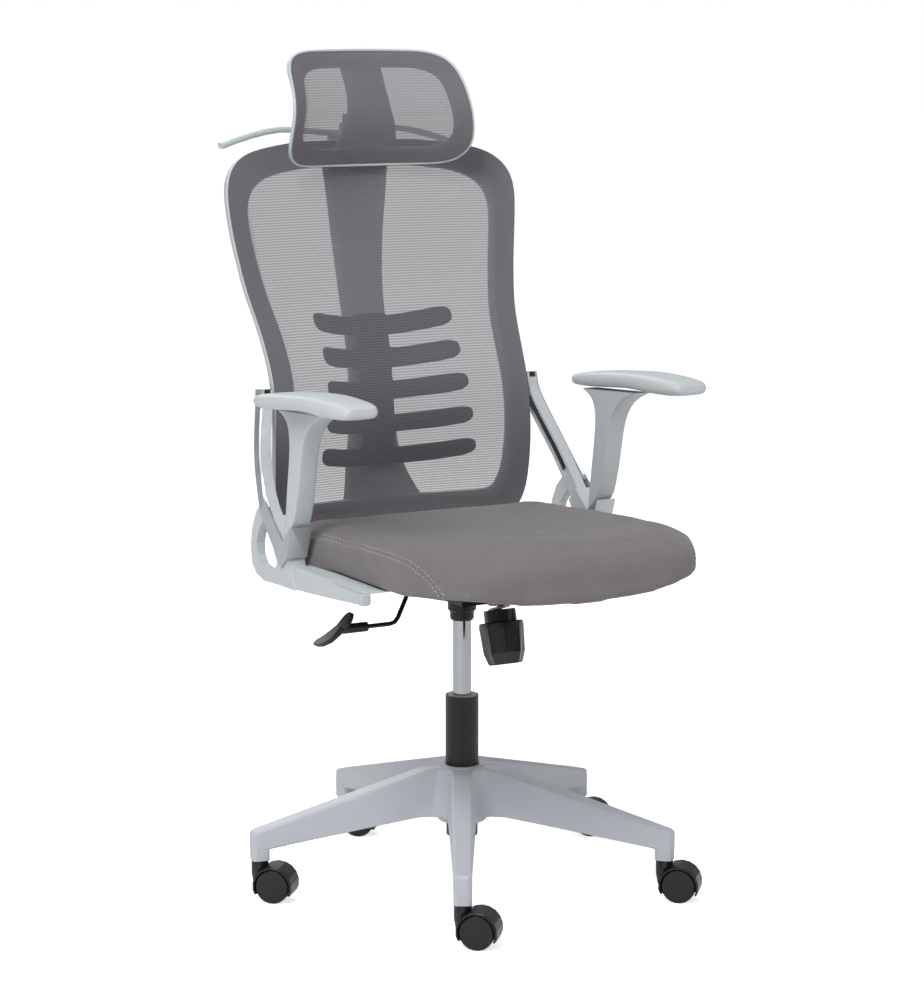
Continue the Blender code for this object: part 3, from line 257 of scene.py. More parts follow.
@dataclass(frozen=True)
class Woven(Finish):
    """Plain-woven polyester: over-and-under threads give a soft, dry, even surface."""

    thread: float = 1.3 * MM
    depth: float = 0.12 * MM
    sheen: float = 0.25
    fuzz_per_metre: float = 900.0
    fuzz_share: float = 0.6
    cloud_per_metre: float = 26.0
    darkest: float = 0.86
    lightest: float = 1.12

    def build(self) -> bpy.types.Material:
        """Make the weave from two crossed waves and a little fuzz.

        Returns:
            The finished material.
        """
        material, tree, shader, place = self.start()
        shader.inputs["Sheen Weight"].default_value = self.sheen
        shader.inputs["Sheen Roughness"].default_value = 0.45
        shader.inputs["Specular IOR Level"].default_value = 0.25
        axes = add_node(tree, "SeparateXYZ", inputs={"Vector": place})
        rate = math.pi / self.thread
        waves = []
        for axis in ("X", "Y", "Z"):
            turn = add_node(tree, "Math", {"operation": "MULTIPLY"},
                            {0: axes.outputs[axis], 1: rate})
            waves.append(add_node(tree, "Math", {"operation": "SINE"}, {0: turn.outputs[0]}).outputs[0])
        crossed = add_node(tree, "Math", {"operation": "MULTIPLY"}, {0: waves[0], 1: waves[1]})
        upright = add_node(tree, "Math", {"operation": "MULTIPLY_ADD"},
                           {0: waves[2], 1: 0.5, 2: crossed.outputs[0]})
        weave = add_node(tree, "MapRange", inputs={"Value": upright.outputs[0], "From Min": -1.2,
                                                   "From Max": 1.2})
        fuzz = add_node(tree, "TexNoise", inputs={"Vector": place, "Scale": self.fuzz_per_metre,
                                                  "Detail": 2.0})
        height = add_node(tree, "Math", {"operation": "MULTIPLY_ADD"},
                          {0: fuzz.outputs["Fac"], 1: self.fuzz_share, 2: weave.outputs["Result"]})
        self.raise_surface(tree, shader, height.outputs[0], self.depth)
        cloud = add_node(tree, "TexNoise", inputs={"Vector": place, "Scale": self.cloud_per_metre,
                                                   "Detail": 4.0})
        shade = add_node(tree, "Math", {"operation": "MULTIPLY_ADD"},
                         {0: weave.outputs["Result"], 1: 0.55, 2: cloud.outputs["Fac"]})
        factor = add_node(tree, "MapRange", inputs={"Value": shade.outputs[0], "From Min": 0.3,
                                                    "From Max": 1.2})
        low, high = [tuple(c * k for c in linear(self.colour)[:3]) + (1.0,)
                     for k in (self.darkest, self.lightest)]
        tint = add_node(tree, "Mix", {"data_type": "RGBA"},
                        {"Factor": factor.outputs["Result"], "A": low, "B": high})
        tree.links.new(tint.outputs["Result"], shader.inputs["Base Color"])
        return material


@dataclass(frozen=True)
class KnitMesh(Finish):
    """Knitted elastic mesh: thick threads lie across, thin ones up, and light comes through."""

    pitch: float = 4.0 * MM
    upright: float = 1.6 * MM
    cover: float = 0.72
    swing: float = 0.10
    # Extra cover along the border band: painted shade, darkening the mesh where the frame behind it lies in
    # shade.
    rim_shade_cover: float = 0.24
    upright_swing: float = 0.05
    depth: float = 0.3 * MM

    def build(self) -> bpy.types.Material:
        """Make the threads, whose gaps let the back show through.

        Returns:
            The finished material.
        """
        material, tree, shader, place = self.start()
        shader.inputs["Sheen Weight"].default_value = 0.1
        shader.inputs["Specular IOR Level"].default_value = 0.3
        axes = add_node(tree, "SeparateXYZ", inputs={"Vector": place})
        waves = []
        for axis, step in (("Z", self.pitch), ("X", self.upright)):
            turn = add_node(tree, "Math", {"operation": "MULTIPLY"},
                            {0: axes.outputs[axis], 1: 2.0 * math.pi / step})
            waves.append(add_node(tree, "Math", {"operation": "SINE"}, {0: turn.outputs[0]}).outputs[0])
        threads = add_node(tree, "Math", {"operation": "MULTIPLY_ADD"},
                           {0: waves[0], 1: self.swing, 2: self.cover})
        both = add_node(tree, "Math", {"operation": "MULTIPLY_ADD", "use_clamp": True},
                        {0: waves[1], 1: self.upright_swing, 2: threads.outputs[0]})
        # The border band is drawn denser: painted shade of the frame behind the mesh.
        rim = add_node(tree, "Attribute", {"attribute_name": "rim"}).outputs["Fac"]
        closed = add_node(tree, "Math", {"operation": "MULTIPLY_ADD", "use_clamp": True},
                          {0: rim, 1: self.rim_shade_cover, 2: both.outputs[0]})
        tree.links.new(closed.outputs[0], shader.inputs["Alpha"])
        self.raise_surface(tree, shader, both.outputs[0], self.depth)
        low, high = [tuple(c * k for c in linear(self.colour)[:3]) + (1.0,) for k in (1.25, 0.85)]
        tint = add_node(tree, "Mix", {"data_type": "RGBA"}, {"Factor": both.outputs[0], "A": low, "B": high})
        tree.links.new(tint.outputs["Result"], shader.inputs["Base Color"])
        return material


# PA6 nylon, moulded with a fine spark grain: an even, dull satin light grey.
ARM_NYLON = Moulded("nylon_light_grey_moulded", Slot.LIGHT, "#C7CED1", 0.42, ior=1.53)
# Glass-filled nylon, moulded coarser: slightly bluer and a little duller.
BASE_NYLON = Moulded("glass_filled_nylon_moulded", Slot.BASE, "#C5C9D0", 0.45, ior=1.53, grain=1.0 * MM)
# Polyurethane skin over foam, moulded smooth: soft broad highlights.
PAD_SKIN = Moulded("polyurethane_skin_moulded", Slot.PAD, "#CAD0D2", 0.48, ior=1.5, grain=0.6 * MM)
# Nylon in dark grey for the lumbar ribs, moulded: it reads as a shadow behind the mesh.
RIB_NYLON = Moulded("nylon_dark_grey_moulded", Slot.DARK, "#2B2C30", 0.5, ior=1.53)
# Black nylon with a fine grain: small grey highlights on the edges only.
BLACK_NYLON = Moulded("nylon_black_moulded", Slot.BLACK, "#131416", 0.42, ior=1.53)
# Black ABS polished in the mould: sharper highlights on the casters and the knob.
POLISHED_ABS = Moulded("abs_black_polished", Slot.GLOSS, "#0D0D0F", 0.28, ior=1.54,
                       grain=2.0 * MM, depth=0.01 * MM)
# Nylon wheel treads, moulded smooth.
WHEEL_NYLON = Moulded("nylon_wheel_moulded", Slot.WHEEL, "#101113", 0.38, ior=1.53)
# Steel pressings with black powder coat: orange peel in the highlights.
POWDER_COAT = Moulded("steel_powder_coated", Slot.PAINT, "#0F1012", 0.4, ior=1.5,
                      grain=1.6 * MM, depth=0.04 * MM)
# Zinc-plated steel, barrel polished.
ZINC_STEEL = Plated("steel_zinc_plated", Slot.STEEL, "#B9BABC", 0.32, metallic=1.0)
# Chromed steel tube, polished: mirrors the room.
CHROMED_STEEL = Plated("steel_chrome_polished", Slot.CHROME, "#AEB1B6", 0.15, metallic=1.0)
# ABS with satin silver lacquer: metallic flakes, soft glints.
SILVER_LACQUER = Moulded("abs_silver_lacquered", Slot.SILVER, "#C4C7CC", 0.34, metallic=0.75,
                         grain=0.5 * MM, depth=0.008 * MM)
# Polyester upholstery cloth, plain weave.  Real threads of about 0.5 mm are drawn coarser to show.
SEAT_CLOTH = Woven("polyester_plain_woven", Slot.SEAT, "#7B7776", 0.85)
# Sewing thread of twisted polyester, a shade lighter than the cloth.
SEWING_THREAD = Woven("polyester_thread_twisted", Slot.SEAT, "#C4C2C4", 0.7, thread=0.7 * MM)
# Elastic polyester mesh, warp-knitted, in mid grey.  Its rows lie about 4 mm apart, and
# between the threads the light comes through.
BACK_KNIT = KnitMesh("polyester_mesh_knitted", Slot.MESH, "#737279", 0.62)
# The headrest's knit is less stretched, so its threads lie closer and it looks darker.
# Its border band is drawn denser too, as painted shade.
HEAD_KNIT = KnitMesh("polyester_mesh_knitted_close", Slot.MESH, "#77737A", 0.62, cover=0.78, swing=0.09,
                     rim_shade_cover=0.22)
# The same yarn doubled and glued down in the frame's groove.
MESH_EDGING = Woven("polyester_edging_knitted", Slot.MESH, "#66676D", 0.7, thread=1.0 * MM)


class Wardrobe:
    """Keeps one material for each finish."""

    def __init__(self) -> None:
        """Start with no materials made."""
        self.made: dict[str, bpy.types.Material] = {}

    def get(self, finish: Finish) -> bpy.types.Material:
        """Give the finish's material, made on first use.

        Args:
            finish: the finish.

        Returns:
            Its material.
        """
        if finish.name not in self.made:
            self.made[finish.name] = finish.build()
        return self.made[finish.name]

    def dress(self, thing: bpy.types.Object, finish: Finish) -> None:
        """Put a finish on every face of an object.

        Args:
            thing: the object to dress.
            finish: the finish to put on.
        """
        material = self.get(finish)
        if not thing.material_slots:
            thing.data.materials.append(material)
        for slot in thing.material_slots:
            slot.material = material


# ---- mesh helpers ----------------------------------------------------------------
def new_object(name: str, vertices: list, faces: list) -> bpy.types.Object:
    """Make a smooth-shaded mesh object from points and faces.

    Args:
        name: the object's name.
        vertices: its points.
        faces: its faces, as tuples of point numbers.

    Returns:
        The new object, linked to the scene.
    """
    mesh = bpy.data.meshes.new(name)
    mesh.from_pydata([tuple(v) for v in vertices], [], faces)
    tidy = bmesh.new()
    tidy.from_mesh(mesh)
    bmesh.ops.recalc_face_normals(tidy, faces=tidy.faces)
    tidy.to_mesh(mesh)
    tidy.free()
    mesh.shade_smooth()
    thing = bpy.data.objects.new(name, mesh)
    bpy.context.collection.objects.link(thing)
    return thing


def bake_modifiers(thing: bpy.types.Object) -> None:
    """Replace an object's mesh by what its modifiers make of it.

    Args:
        thing: the object.
    """
    graph = bpy.context.evaluated_depsgraph_get()
    mesh = bpy.data.meshes.new_from_object(thing.evaluated_get(graph))
    thing.modifiers.clear()
    thing.data = mesh


def subdivide(thing: bpy.types.Object, levels: int) -> None:
    """Smooth an object with a subdivision surface and keep the result.

    Args:
        thing: the object.
        levels: how many times it is divided.
    """
    modifier = thing.modifiers.new("smooth", "SUBSURF")
    modifier.levels = levels
    modifier.render_levels = levels
    bake_modifiers(thing)


def loft(name: str, rings: list[list], closed: bool = False) -> bpy.types.Object:
    """Skin rings of equally many points.

    Args:
        name: the object's name.
        rings: the rings, in order.
        closed: True joins the last ring to the first; False caps both ends.

    Returns:
        The skinned object.
    """
    count = len(rings[0])
    faces = []
    for i in range(len(rings) if closed else len(rings) - 1):
        here, there = i * count, ((i + 1) % len(rings)) * count
        for j in range(count):
            k = (j + 1) % count
            faces.append((here + j, here + k, there + k, there + j))
    if not closed:
        faces.append(tuple(reversed(range(count))))
        faces.append(tuple(range((len(rings) - 1) * count, len(rings) * count)))
    return new_object(name, [p for ring in rings for p in ring], faces)


def tube(name: str, path: list[Vector], radius: float, sides: int = 8,
         closed: bool = False) -> bpy.types.Object:
    """Make a round bar along a path.

    Args:
        name: the object's name.
        path: the points that its middle follows.
        radius: the bar's radius.
        sides: points in its section.
        closed: True joins its ends.

    Returns:
        The bar.
    """
    rings = []
    total = len(path)
    across = Vector((0.0, 1.0, 0.0))
    for i, point in enumerate(path):
        before = path[(i - 1) % total] if closed or i else point
        after = path[(i + 1) % total] if closed or i < total - 1 else point
        tangent = (after - before).normalized()
        side = (across - across.dot(tangent) * tangent).normalized()
        out = tangent.cross(side)
        turns = [2.0 * math.pi * j / sides for j in range(sides)]
        rings.append([point + (side * math.cos(t) + out * math.sin(t)) * radius for t in turns])
    return loft(name, rings, closed)


def nearest_tree(points: list[Vector]) -> KDTree:
    """Sort points so that the one nearest to a place is found quickly.

    Args:
        points: the points.

    Returns:
        The sorted tree.
    """
    tree = KDTree(len(points))
    for i, point in enumerate(points):
        tree.insert(point, i)
    tree.balance()
    return tree


def smooth_curve(points: list[Point], steps: int) -> list[Vector]:
    """Catmull-Rom curve through points.

    Args:
        points: the points to pass through.
        steps: how many pieces each span is cut into.

    Returns:
        The curve's points.
    """
    knots = [Vector(p) for p in points]
    knots = [2 * knots[0] - knots[1]] + knots + [2 * knots[-1] - knots[-2]]
    curve = []
    for i in range(1, len(knots) - 2):
        a, b, c, d = knots[i - 1:i + 3]
        for j in range(steps):
            t = j / steps
            curve.append(0.5 * (2 * b + (c - a) * t + (2 * a - 5 * b + 4 * c - d) * t * t
                                + (3 * b - a - 3 * c + d) * t ** 3))
    curve.append(knots[-2])
    return curve


@dataclass
class Chair:
    """What all sub-assemblies share: the frame, the finishes and the way to place pieces."""

    frame: dict
    wardrobe: Wardrobe = field(default_factory=Wardrobe)

    def place(self, thing: bpy.types.Object, body: str, finish: Finish) -> bpy.types.Object:
        """Dress a finished piece and let it ride on a body.

        Args:
            thing: the piece.
            body: the body that it moves with.
            finish: its finish.

        Returns:
            The piece.
        """
        self.wardrobe.dress(thing, finish)
        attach(thing, body)
        LOG.info("placed %s on %s", thing.name, body)
        return thing

    def dress_nodes(self, finish: Finish, *names: str, edge: float = 0.0) -> None:
        """Give CAD nodes their real finish, and a softened edge where the moulding has one.

        Args:
            finish: the finish.
            names: the nodes.
            edge: the radius of the softened edges; 0 leaves them.
        """
        for name in names:
            node = self.frame["nodes"][name]
            self.wardrobe.dress(node, finish)
            if edge:
                weld = node.modifiers.new("joined", "WELD")
                weld.merge_threshold = WELD_DISTANCE
                round_off = node.modifiers.new("edges", "BEVEL")
                round_off.width = edge
                round_off.segments = 2
                round_off.limit_method = "ANGLE"
                round_off.angle_limit = math.radians(32.0)
                round_off.harden_normals = False

    def refined(self, node_name: str, name: str, levels: int, crease: float) -> bpy.types.Object:
        """Make a smoother copy of a moulding, whose sharp edges stay fairly sharp.

        Args:
            node_name: the CAD node that is copied and replaced.
            name: the new piece's name.
            levels: subdivision levels.
            crease: edges that turn more than this many degrees are creased.

        Returns:
            The new piece, not dressed yet.
        """
        source = self.frame["nodes"][node_name]
        work = bmesh.new()
        work.from_mesh(source.data)
        bmesh.ops.remove_doubles(work, verts=work.verts, dist=WELD_DISTANCE)
        bmesh.ops.join_triangles(work, faces=work.faces, angle_face_threshold=math.radians(25.0),
                                 angle_shape_threshold=math.radians(80.0))
        layer = work.edges.layers.float.new("crease_edge")
        limit = math.radians(crease)
        for edge in work.edges:
            if len(edge.link_faces) == 2 and edge.calc_face_angle(0.0) > limit:
                edge[layer] = 0.75
        mesh = bpy.data.meshes.new(name)
        work.to_mesh(mesh)
        work.free()
        mesh.shade_smooth()
        piece = bpy.data.objects.new(name, mesh)
        bpy.context.collection.objects.link(piece)
        subdivide(piece, levels)
        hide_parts(node_name)
        return piece


# ---- seat ------------------------------------------------------------------------
@dataclass
class Seat:
    """Foam cushion with sewn side panels, over the seat pan."""

    chair: Chair
    body: str = "seat"
    voxel: float = 6.0 * MM
    swell_cap: float = 4.0 * MM
    pressure: float = 4.0
    groove_depth: float = 1.5 * MM
    groove_width: float = 4.5 * MM
    shrink: float = 2.0 * MM
    cloth_frames: int = 20
    stitch_length: float = 4.2 * MM
    stitch_gap: float = 2.0 * MM
    row_offset: float = 3.4 * MM
    side: float = 0.2365
    seam: tuple[Point, ...] = ((1.0, 0.110, 0.5530), (1.0, 0.030, 0.5575), (1.0, -0.100, 0.5620),
                               (1.0, -0.190, 0.5620), (0.995, -0.245, 0.5590), (0.965, -0.285, 0.5480),
                               (0.925, -0.315, 0.5260), (0.890, -0.330, 0.5020))

    def build(self) -> None:
        """Make the cushion, its seams and its stitches."""
        cushion = self.cushion()
        seams = [self.seam_line(cushion, side) for side in (-1.0, 1.0)]
        self.sink_seams(cushion, seams)
        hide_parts("seat_cushion")
        self.chair.place(cushion, self.body, SEAT_CLOTH)
        for letter, line in zip("rl", seams):
            self.stitches(cushion, line, letter)
        self.chair.dress_nodes(BLACK_NYLON, "seat_pan")

    def cushion(self) -> bpy.types.Object:
        """Swell the foam inside its cover.

        Returns:
            The cushion before its seams.
        """
        source = self.chair.frame["nodes"]["seat_cushion"]
        cushion = bpy.data.objects.new("seat_cushion_cover", source.data.copy())
        bpy.context.collection.objects.link(cushion)
        weld = cushion.modifiers.new("joined", "WELD")
        weld.merge_threshold = WELD_DISTANCE
        remesh = cushion.modifiers.new("even", "REMESH")
        remesh.mode = "VOXEL"
        remesh.voxel_size = self.voxel
        remesh.use_smooth_shade = True
        soften = cushion.modifiers.new("soften", "SMOOTH")
        soften.factor = 0.6
        soften.iterations = 6
        bake_modifiers(cushion)
        self.inflate(cushion)
        settle = cushion.modifiers.new("settle", "SMOOTH")
        settle.factor = 0.5
        settle.iterations = 8
        bake_modifiers(cushion)
        subdivide(cushion, 1)
        cushion.data.shade_smooth()
        return cushion

    def inflate(self, cushion: bpy.types.Object) -> None:
        """Blow the cover up against its stitched underside, and cap how far it moves.

        Args:
            cushion: the evenly meshed cover, changed in place.
        """
        mesh = cushion.data
        rest = [v.co.copy() for v in mesh.vertices]
        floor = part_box("seat_pan")[1][2] + self.shrink
        held = cushion.vertex_groups.new(name="held")
        held.add([i for i, p in enumerate(rest) if p.z < floor], 1.0, "REPLACE")
        for i, vertex in enumerate(mesh.vertices):
            if rest[i].z >= floor:
                vertex.co = rest[i] - vertex.normal * self.shrink
        cloth = cushion.modifiers.new("cloth", "CLOTH")
        cloth.settings.use_pressure = True
        cloth.settings.uniform_pressure_force = self.pressure
        cloth.settings.vertex_group_mass = "held"
        cloth.settings.effector_weights.gravity = 0.0
        cloth.settings.quality = 5
        scene = bpy.context.scene
        for number in range(1, self.cloth_frames + 1):
            scene.frame_set(number)
        bake_modifiers(cushion)
        scene.frame_set(1)
        for i, vertex in enumerate(cushion.data.vertices):
            move = vertex.co - rest[i]
            if move.length > self.swell_cap:
                vertex.co = rest[i] + move.normalized() * self.swell_cap

    def seam_line(self, cushion: bpy.types.Object, side: float) -> list[tuple[Vector, Vector]]:
        """Lay the side panel's seam on the cushion.

        Args:
            cushion: the cushion.
            side: -1 for the sitter's right, 1 for the left.

        Returns:
            Points on the surface, each with its outward normal.
        """
        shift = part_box("gas_cylinder")
        middle = (shift[0][1] + shift[1][1]) / 2.0
        knots = [(side * share * self.side, y + middle, z) for share, y, z in self.seam]
        tree = BVHTree.FromObject(cushion, bpy.context.evaluated_depsgraph_get())
        line = []
        for point in smooth_curve(knots, 24):
            near, normal, _, _ = tree.find_nearest(point)
            line.append((near, normal))
        return line

    def sink_seams(self, cushion: bpy.types.Object, seams: list) -> None:
        """Press a groove into the cushion along each seam.

        Args:
            cushion: the cushion, changed in place.
            seams: the seam lines.
        """
        tree = nearest_tree([p for line in seams for p, _ in line])
        for vertex in cushion.data.vertices:
            gap = tree.find(vertex.co)[2]
            if gap < self.groove_width * 2.0:
                share = math.exp(-(gap / self.groove_width) ** 2 * 2.0)
                vertex.co -= vertex.normal * self.groove_depth * share

    def stitches(self, cushion: bpy.types.Object, line: list, letter: str) -> None:
        """Sew two rows of topstitches beside a seam.

        Args:
            cushion: the grooved cushion.
            line: the seam.
            letter: r or l, for the piece's name.
        """
        tree = BVHTree.FromObject(cushion, bpy.context.evaluated_depsgraph_get())
        vertices: list[Vector] = []
        faces: list[tuple[int, ...]] = []
        for row in (-1.0, 1.0):
            path = []
            for i, (point, normal) in enumerate(line):
                along = (line[min(i + 1, len(line) - 1)][0] - line[max(i - 1, 0)][0]).normalized()
                near, out, _, _ = tree.find_nearest(point + along.cross(normal) * self.row_offset * row)
                path.append((near, out))
            self.sew(path, vertices, faces)
        thread = new_object(f"seat_stitching_{letter}", vertices, faces)
        self.chair.place(thread, self.body, SEWING_THREAD)

    def sew(self, path: list, vertices: list, faces: list) -> None:
        """Add one row of stitches, each a small lozenge of thread lying on the cloth.

        Args:
            path: surface points with normals.
            vertices: points made so far, added to.
            faces: faces made so far, added to.
        """
        reach = self.stitch_length + self.stitch_gap
        travelled = 0.0
        for i in range(len(path) - 1):
            here, out = path[i]
            step = path[i + 1][0] - here
            travelled += step.length
            if travelled < reach or step.length < 1e-6:
                continue
            travelled = 0.0
            along = step.normalized()
            across = along.cross(out).normalized()
            middle = here + out * 0.25 * MM
            first = len(vertices)
            half, wide, tall = self.stitch_length / 2.0, 0.6 * MM, 0.6 * MM
            for u, v, w in ((-1, 0, 0), (-0.6, -1, 0), (-0.6, 0, 1), (-0.6, 1, 0), (-0.6, 0, -1),
                            (0.6, -1, 0), (0.6, 0, 1), (0.6, 1, 0), (0.6, 0, -1), (1, 0, 0)):
                vertices.append(middle + along * half * u + across * wide * v + out * tall * w)
            for j in range(4):
                k = (j + 1) % 4
                faces.append((first, first + 1 + j, first + 1 + k))
                faces.append((first + 1 + j, first + 5 + j, first + 5 + k, first + 1 + k))
                faces.append((first + 9, first + 5 + k, first + 5 + j))


# ---- stretched mesh --------------------------------------------------------------
@dataclass
class StretchedMesh:
    """Elastic mesh pulled over a frame: one fine sheet with its glued edge."""

    chair: Chair
    node: str
    name: str
    body: str
    rests_on: str
    levels: int = 2
    # Width and fade of the border band, where the denser knit is painted shade of the frame behind it.
    rim_width: float = 36.0 * MM
    rim_fade: float = 0.5
    knit: KnitMesh = BACK_KNIT
    rail: float = 0.0
    rail_gap: float = 1.2 * MM
    edging: float = 1.5 * MM

    def build(self) -> None:
        """Make the sheet from the front of its CAD solid, then its edging."""
        source = self.chair.frame["nodes"][self.node]
        work = bmesh.new()
        work.from_mesh(source.data)
        bmesh.ops.remove_doubles(work, verts=work.verts, dist=WELD_DISTANCE)
        work.normal_update()
        back = [f for f in work.faces if f.normal.y > -0.35]
        bmesh.ops.delete(work, geom=back, context="FACES")
        bmesh.ops.join_triangles(work, faces=work.faces, angle_face_threshold=math.radians(40.0),
                                 angle_shape_threshold=math.radians(80.0))
        mesh = bpy.data.meshes.new(self.name)
        work.to_mesh(mesh)
        work.free()
        sheet = bpy.data.objects.new(self.name, mesh)
        bpy.context.collection.objects.link(sheet)
        subdivide(sheet, self.levels)
        sheet.data.shade_smooth()
        edge = self.edge_loop(sheet)
        self.mark_rim(sheet, edge)
        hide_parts(self.node)
        self.chair.place(sheet, self.body, self.knit)
        band = tube(f"{self.name}_edging", edge, self.edging, 6, closed=True)
        self.chair.place(band, self.body, MESH_EDGING)
        if self.rail:
            self.outer_rail(edge)

    def outer_rail(self, edge: list[Vector]) -> None:
        """Show the moulded rail that holds the sheet, just outside its edge.

        Args:
            edge: the sheet's boundary.
        """
        middle = sum(edge, Vector()) / len(edge)
        around = []
        for point in edge:
            away = Vector((point.x - middle.x, 0.0, point.z - middle.z)).normalized()
            around.append(point + away * (self.rail + self.rail_gap) + Vector((0.0, self.rail * 0.6, 0.0)))
        rail = tube(f"{self.name}_rail", around, self.rail, 8, closed=True)
        self.chair.place(rail, self.body, ARM_NYLON)

    def mark_rim(self, sheet: bpy.types.Object, edge: list[Vector]) -> None:
        """Store how close each point lies to the edge, where the knit is drawn denser as painted shade of the
        frame behind it.

        Args:
            sheet: the sheet.
            edge: its boundary.
        """
        tree = nearest_tree(edge)
        rim = sheet.data.attributes.new("rim", "FLOAT", "POINT")
        for i, vertex in enumerate(sheet.data.vertices):
            gap = tree.find(vertex.co)[2]
            share = min(max((self.rim_width - gap) / (self.rim_fade * self.rim_width), 0.0), 1.0)
            rim.data[i].value = share * share * (3.0 - 2.0 * share)

    def edge_loop(self, sheet: bpy.types.Object) -> list[Vector]:
        """Follow the sheet's boundary once round.

        Args:
            sheet: the sheet.

        Returns:
            The boundary's points, in order.
        """
        work = bmesh.new()
        work.from_mesh(sheet.data)
        links: dict[int, list[int]] = {}
        for edge in work.edges:
            if edge.is_boundary:
                a, b = edge.verts[0].index, edge.verts[1].index
                links.setdefault(a, []).append(b)
                links.setdefault(b, []).append(a)
        work.verts.ensure_lookup_table()
        first = min(links)
        order = [first, links[first][0]]
        while order[-1] != first:
            ahead = [n for n in links[order[-1]] if n != order[-2]]
            order.append(ahead[0])
        points = [work.verts[i].co.copy() for i in order[:-1]]
        work.free()
        return [p + Vector((0.0, 1.6 * MM, 0.0)) for p in points]


# ---- small fittings --------------------------------------------------------------
@dataclass
class SideFittings:
    """Small fittings on a side frame: the rail's plug and bracket, the bar's insert and its cap."""

    chair: Chair
    side: float
    rail_x: float = 0.2595
    rail_end: float = -0.2168
    rail_z: float = 0.4924
    bracket_top: float = 0.5012
    bracket_stations: tuple[tuple[float, float], ...] = ((-0.2150, 2.6), (-0.2050, 3.4), (-0.1500, 5.4),
                                                         (-0.0600, 5.6), (-0.0100, 5.4), (0.0100, 3.0))
    plug_steps: tuple[Point, ...] = ((-0.5, 6.2, 6.4), (0.0, 8.4, 8.6), (5.0, 8.4, 8.6),
                                     (6.4, 7.6, 7.8), (7.0, 6.0, 6.2))
    plug_corner: float = 0.35
    bar: tuple[Point, ...] = ((0.2585, 0.0292, 0.5230), (0.2600, 0.0812, 0.5720), (0.2545, 0.1182, 0.6200),
                              (0.2430, 0.1472, 0.6650), (0.2310, 0.1682, 0.7080), (0.2270, 0.1742, 0.7400))

    def build(self) -> None:
        """Make the four fittings of this side."""
        letter = "l" if self.side > 0 else "r"
        path = smooth_curve(list(self.bar), 8)
        insert = self.strip(f"bar_insert_{letter}", path[12:-9], -0.0049, 1.6 * MM, 6.4 * MM)
        cap = self.strip(f"bar_cap_{letter}", path[-3:], 0.0012, 8.2 * MM, 12.6 * MM)
        for piece in (insert, cap):
            self.chair.place(piece, "seat", BLACK_NYLON)
        for piece in (self.plug(f"rail_plug_{letter}"), self.bracket(f"seat_bracket_{letter}")):
            self.chair.place(piece, "seat", ARM_NYLON)

    def bracket(self, name: str) -> bpy.types.Object:
        """Make the flat bracket that carries the rail under the edge of the seat.

        Args:
            name: the piece's name.

        Returns:
            The bracket, thinner towards its two ends.
        """
        rings = []
        top = self.bracket_top
        for y, thick in self.bracket_stations:
            low = top - thick * MM
            outline = ((0.2060, low), (0.2040, top - 1.0 * MM), (0.2060, top),
                       (0.2550, top), (0.2565, top - 1.0 * MM), (0.2550, low))
            rings.append([Vector((x * self.side, y, z)) for x, z in outline])
        return loft(name, rings)

    def plug(self, name: str) -> bpy.types.Object:
        """Make the stepped plug that closes the rail's front end.

        Args:
            name: the piece's name.

        Returns:
            The plug.
        """
        rings = []
        for ahead, wide, tall in self.plug_steps:
            ring = []
            for i in range(16):
                turn = 2.0 * math.pi * (i + 0.5) / 16
                across = math.copysign(abs(math.cos(turn)) ** self.plug_corner, math.cos(turn)) * wide * MM
                up = math.copysign(abs(math.sin(turn)) ** self.plug_corner, math.sin(turn)) * tall * MM
                ring.append(Vector((self.side * self.rail_x + across, self.rail_end - ahead * MM,
                                    self.rail_z + up)))
            rings.append(ring)
        return loft(name, rings)

    def strip(self, name: str, path: list[Vector], offset: float, thick: float,
              half: float) -> bpy.types.Object:
        """Run a rounded flat strip along the bar, square to the chair's width.

        Args:
            name: the piece's name.
            path: points on the bar's middle line.
            offset: how far outwards from the bar's middle the strip lies.
            thick: half the strip's thickness.
            half: half its width.

        Returns:
            The strip.
        """
        outline = ((-1.0, -0.8), (-0.6, -1.0), (0.6, -1.0), (1.0, -0.8),
                   (1.0, 0.8), (0.6, 1.0), (-0.6, 1.0), (-1.0, 0.8))
        rings = []
        for i, point in enumerate(path):
            along = (path[min(i + 1, len(path) - 1)] - path[max(i - 1, 0)]).normalized()
            across = along.cross(Vector((1.0, 0.0, 0.0))).normalized()
            ring = [point + Vector((offset + thick * a, 0.0, 0.0)) + across * half * b for a, b in outline]
            rings.append([Vector((p.x * self.side, p.y, p.z)) for p in ring])
        return loft(name, rings)


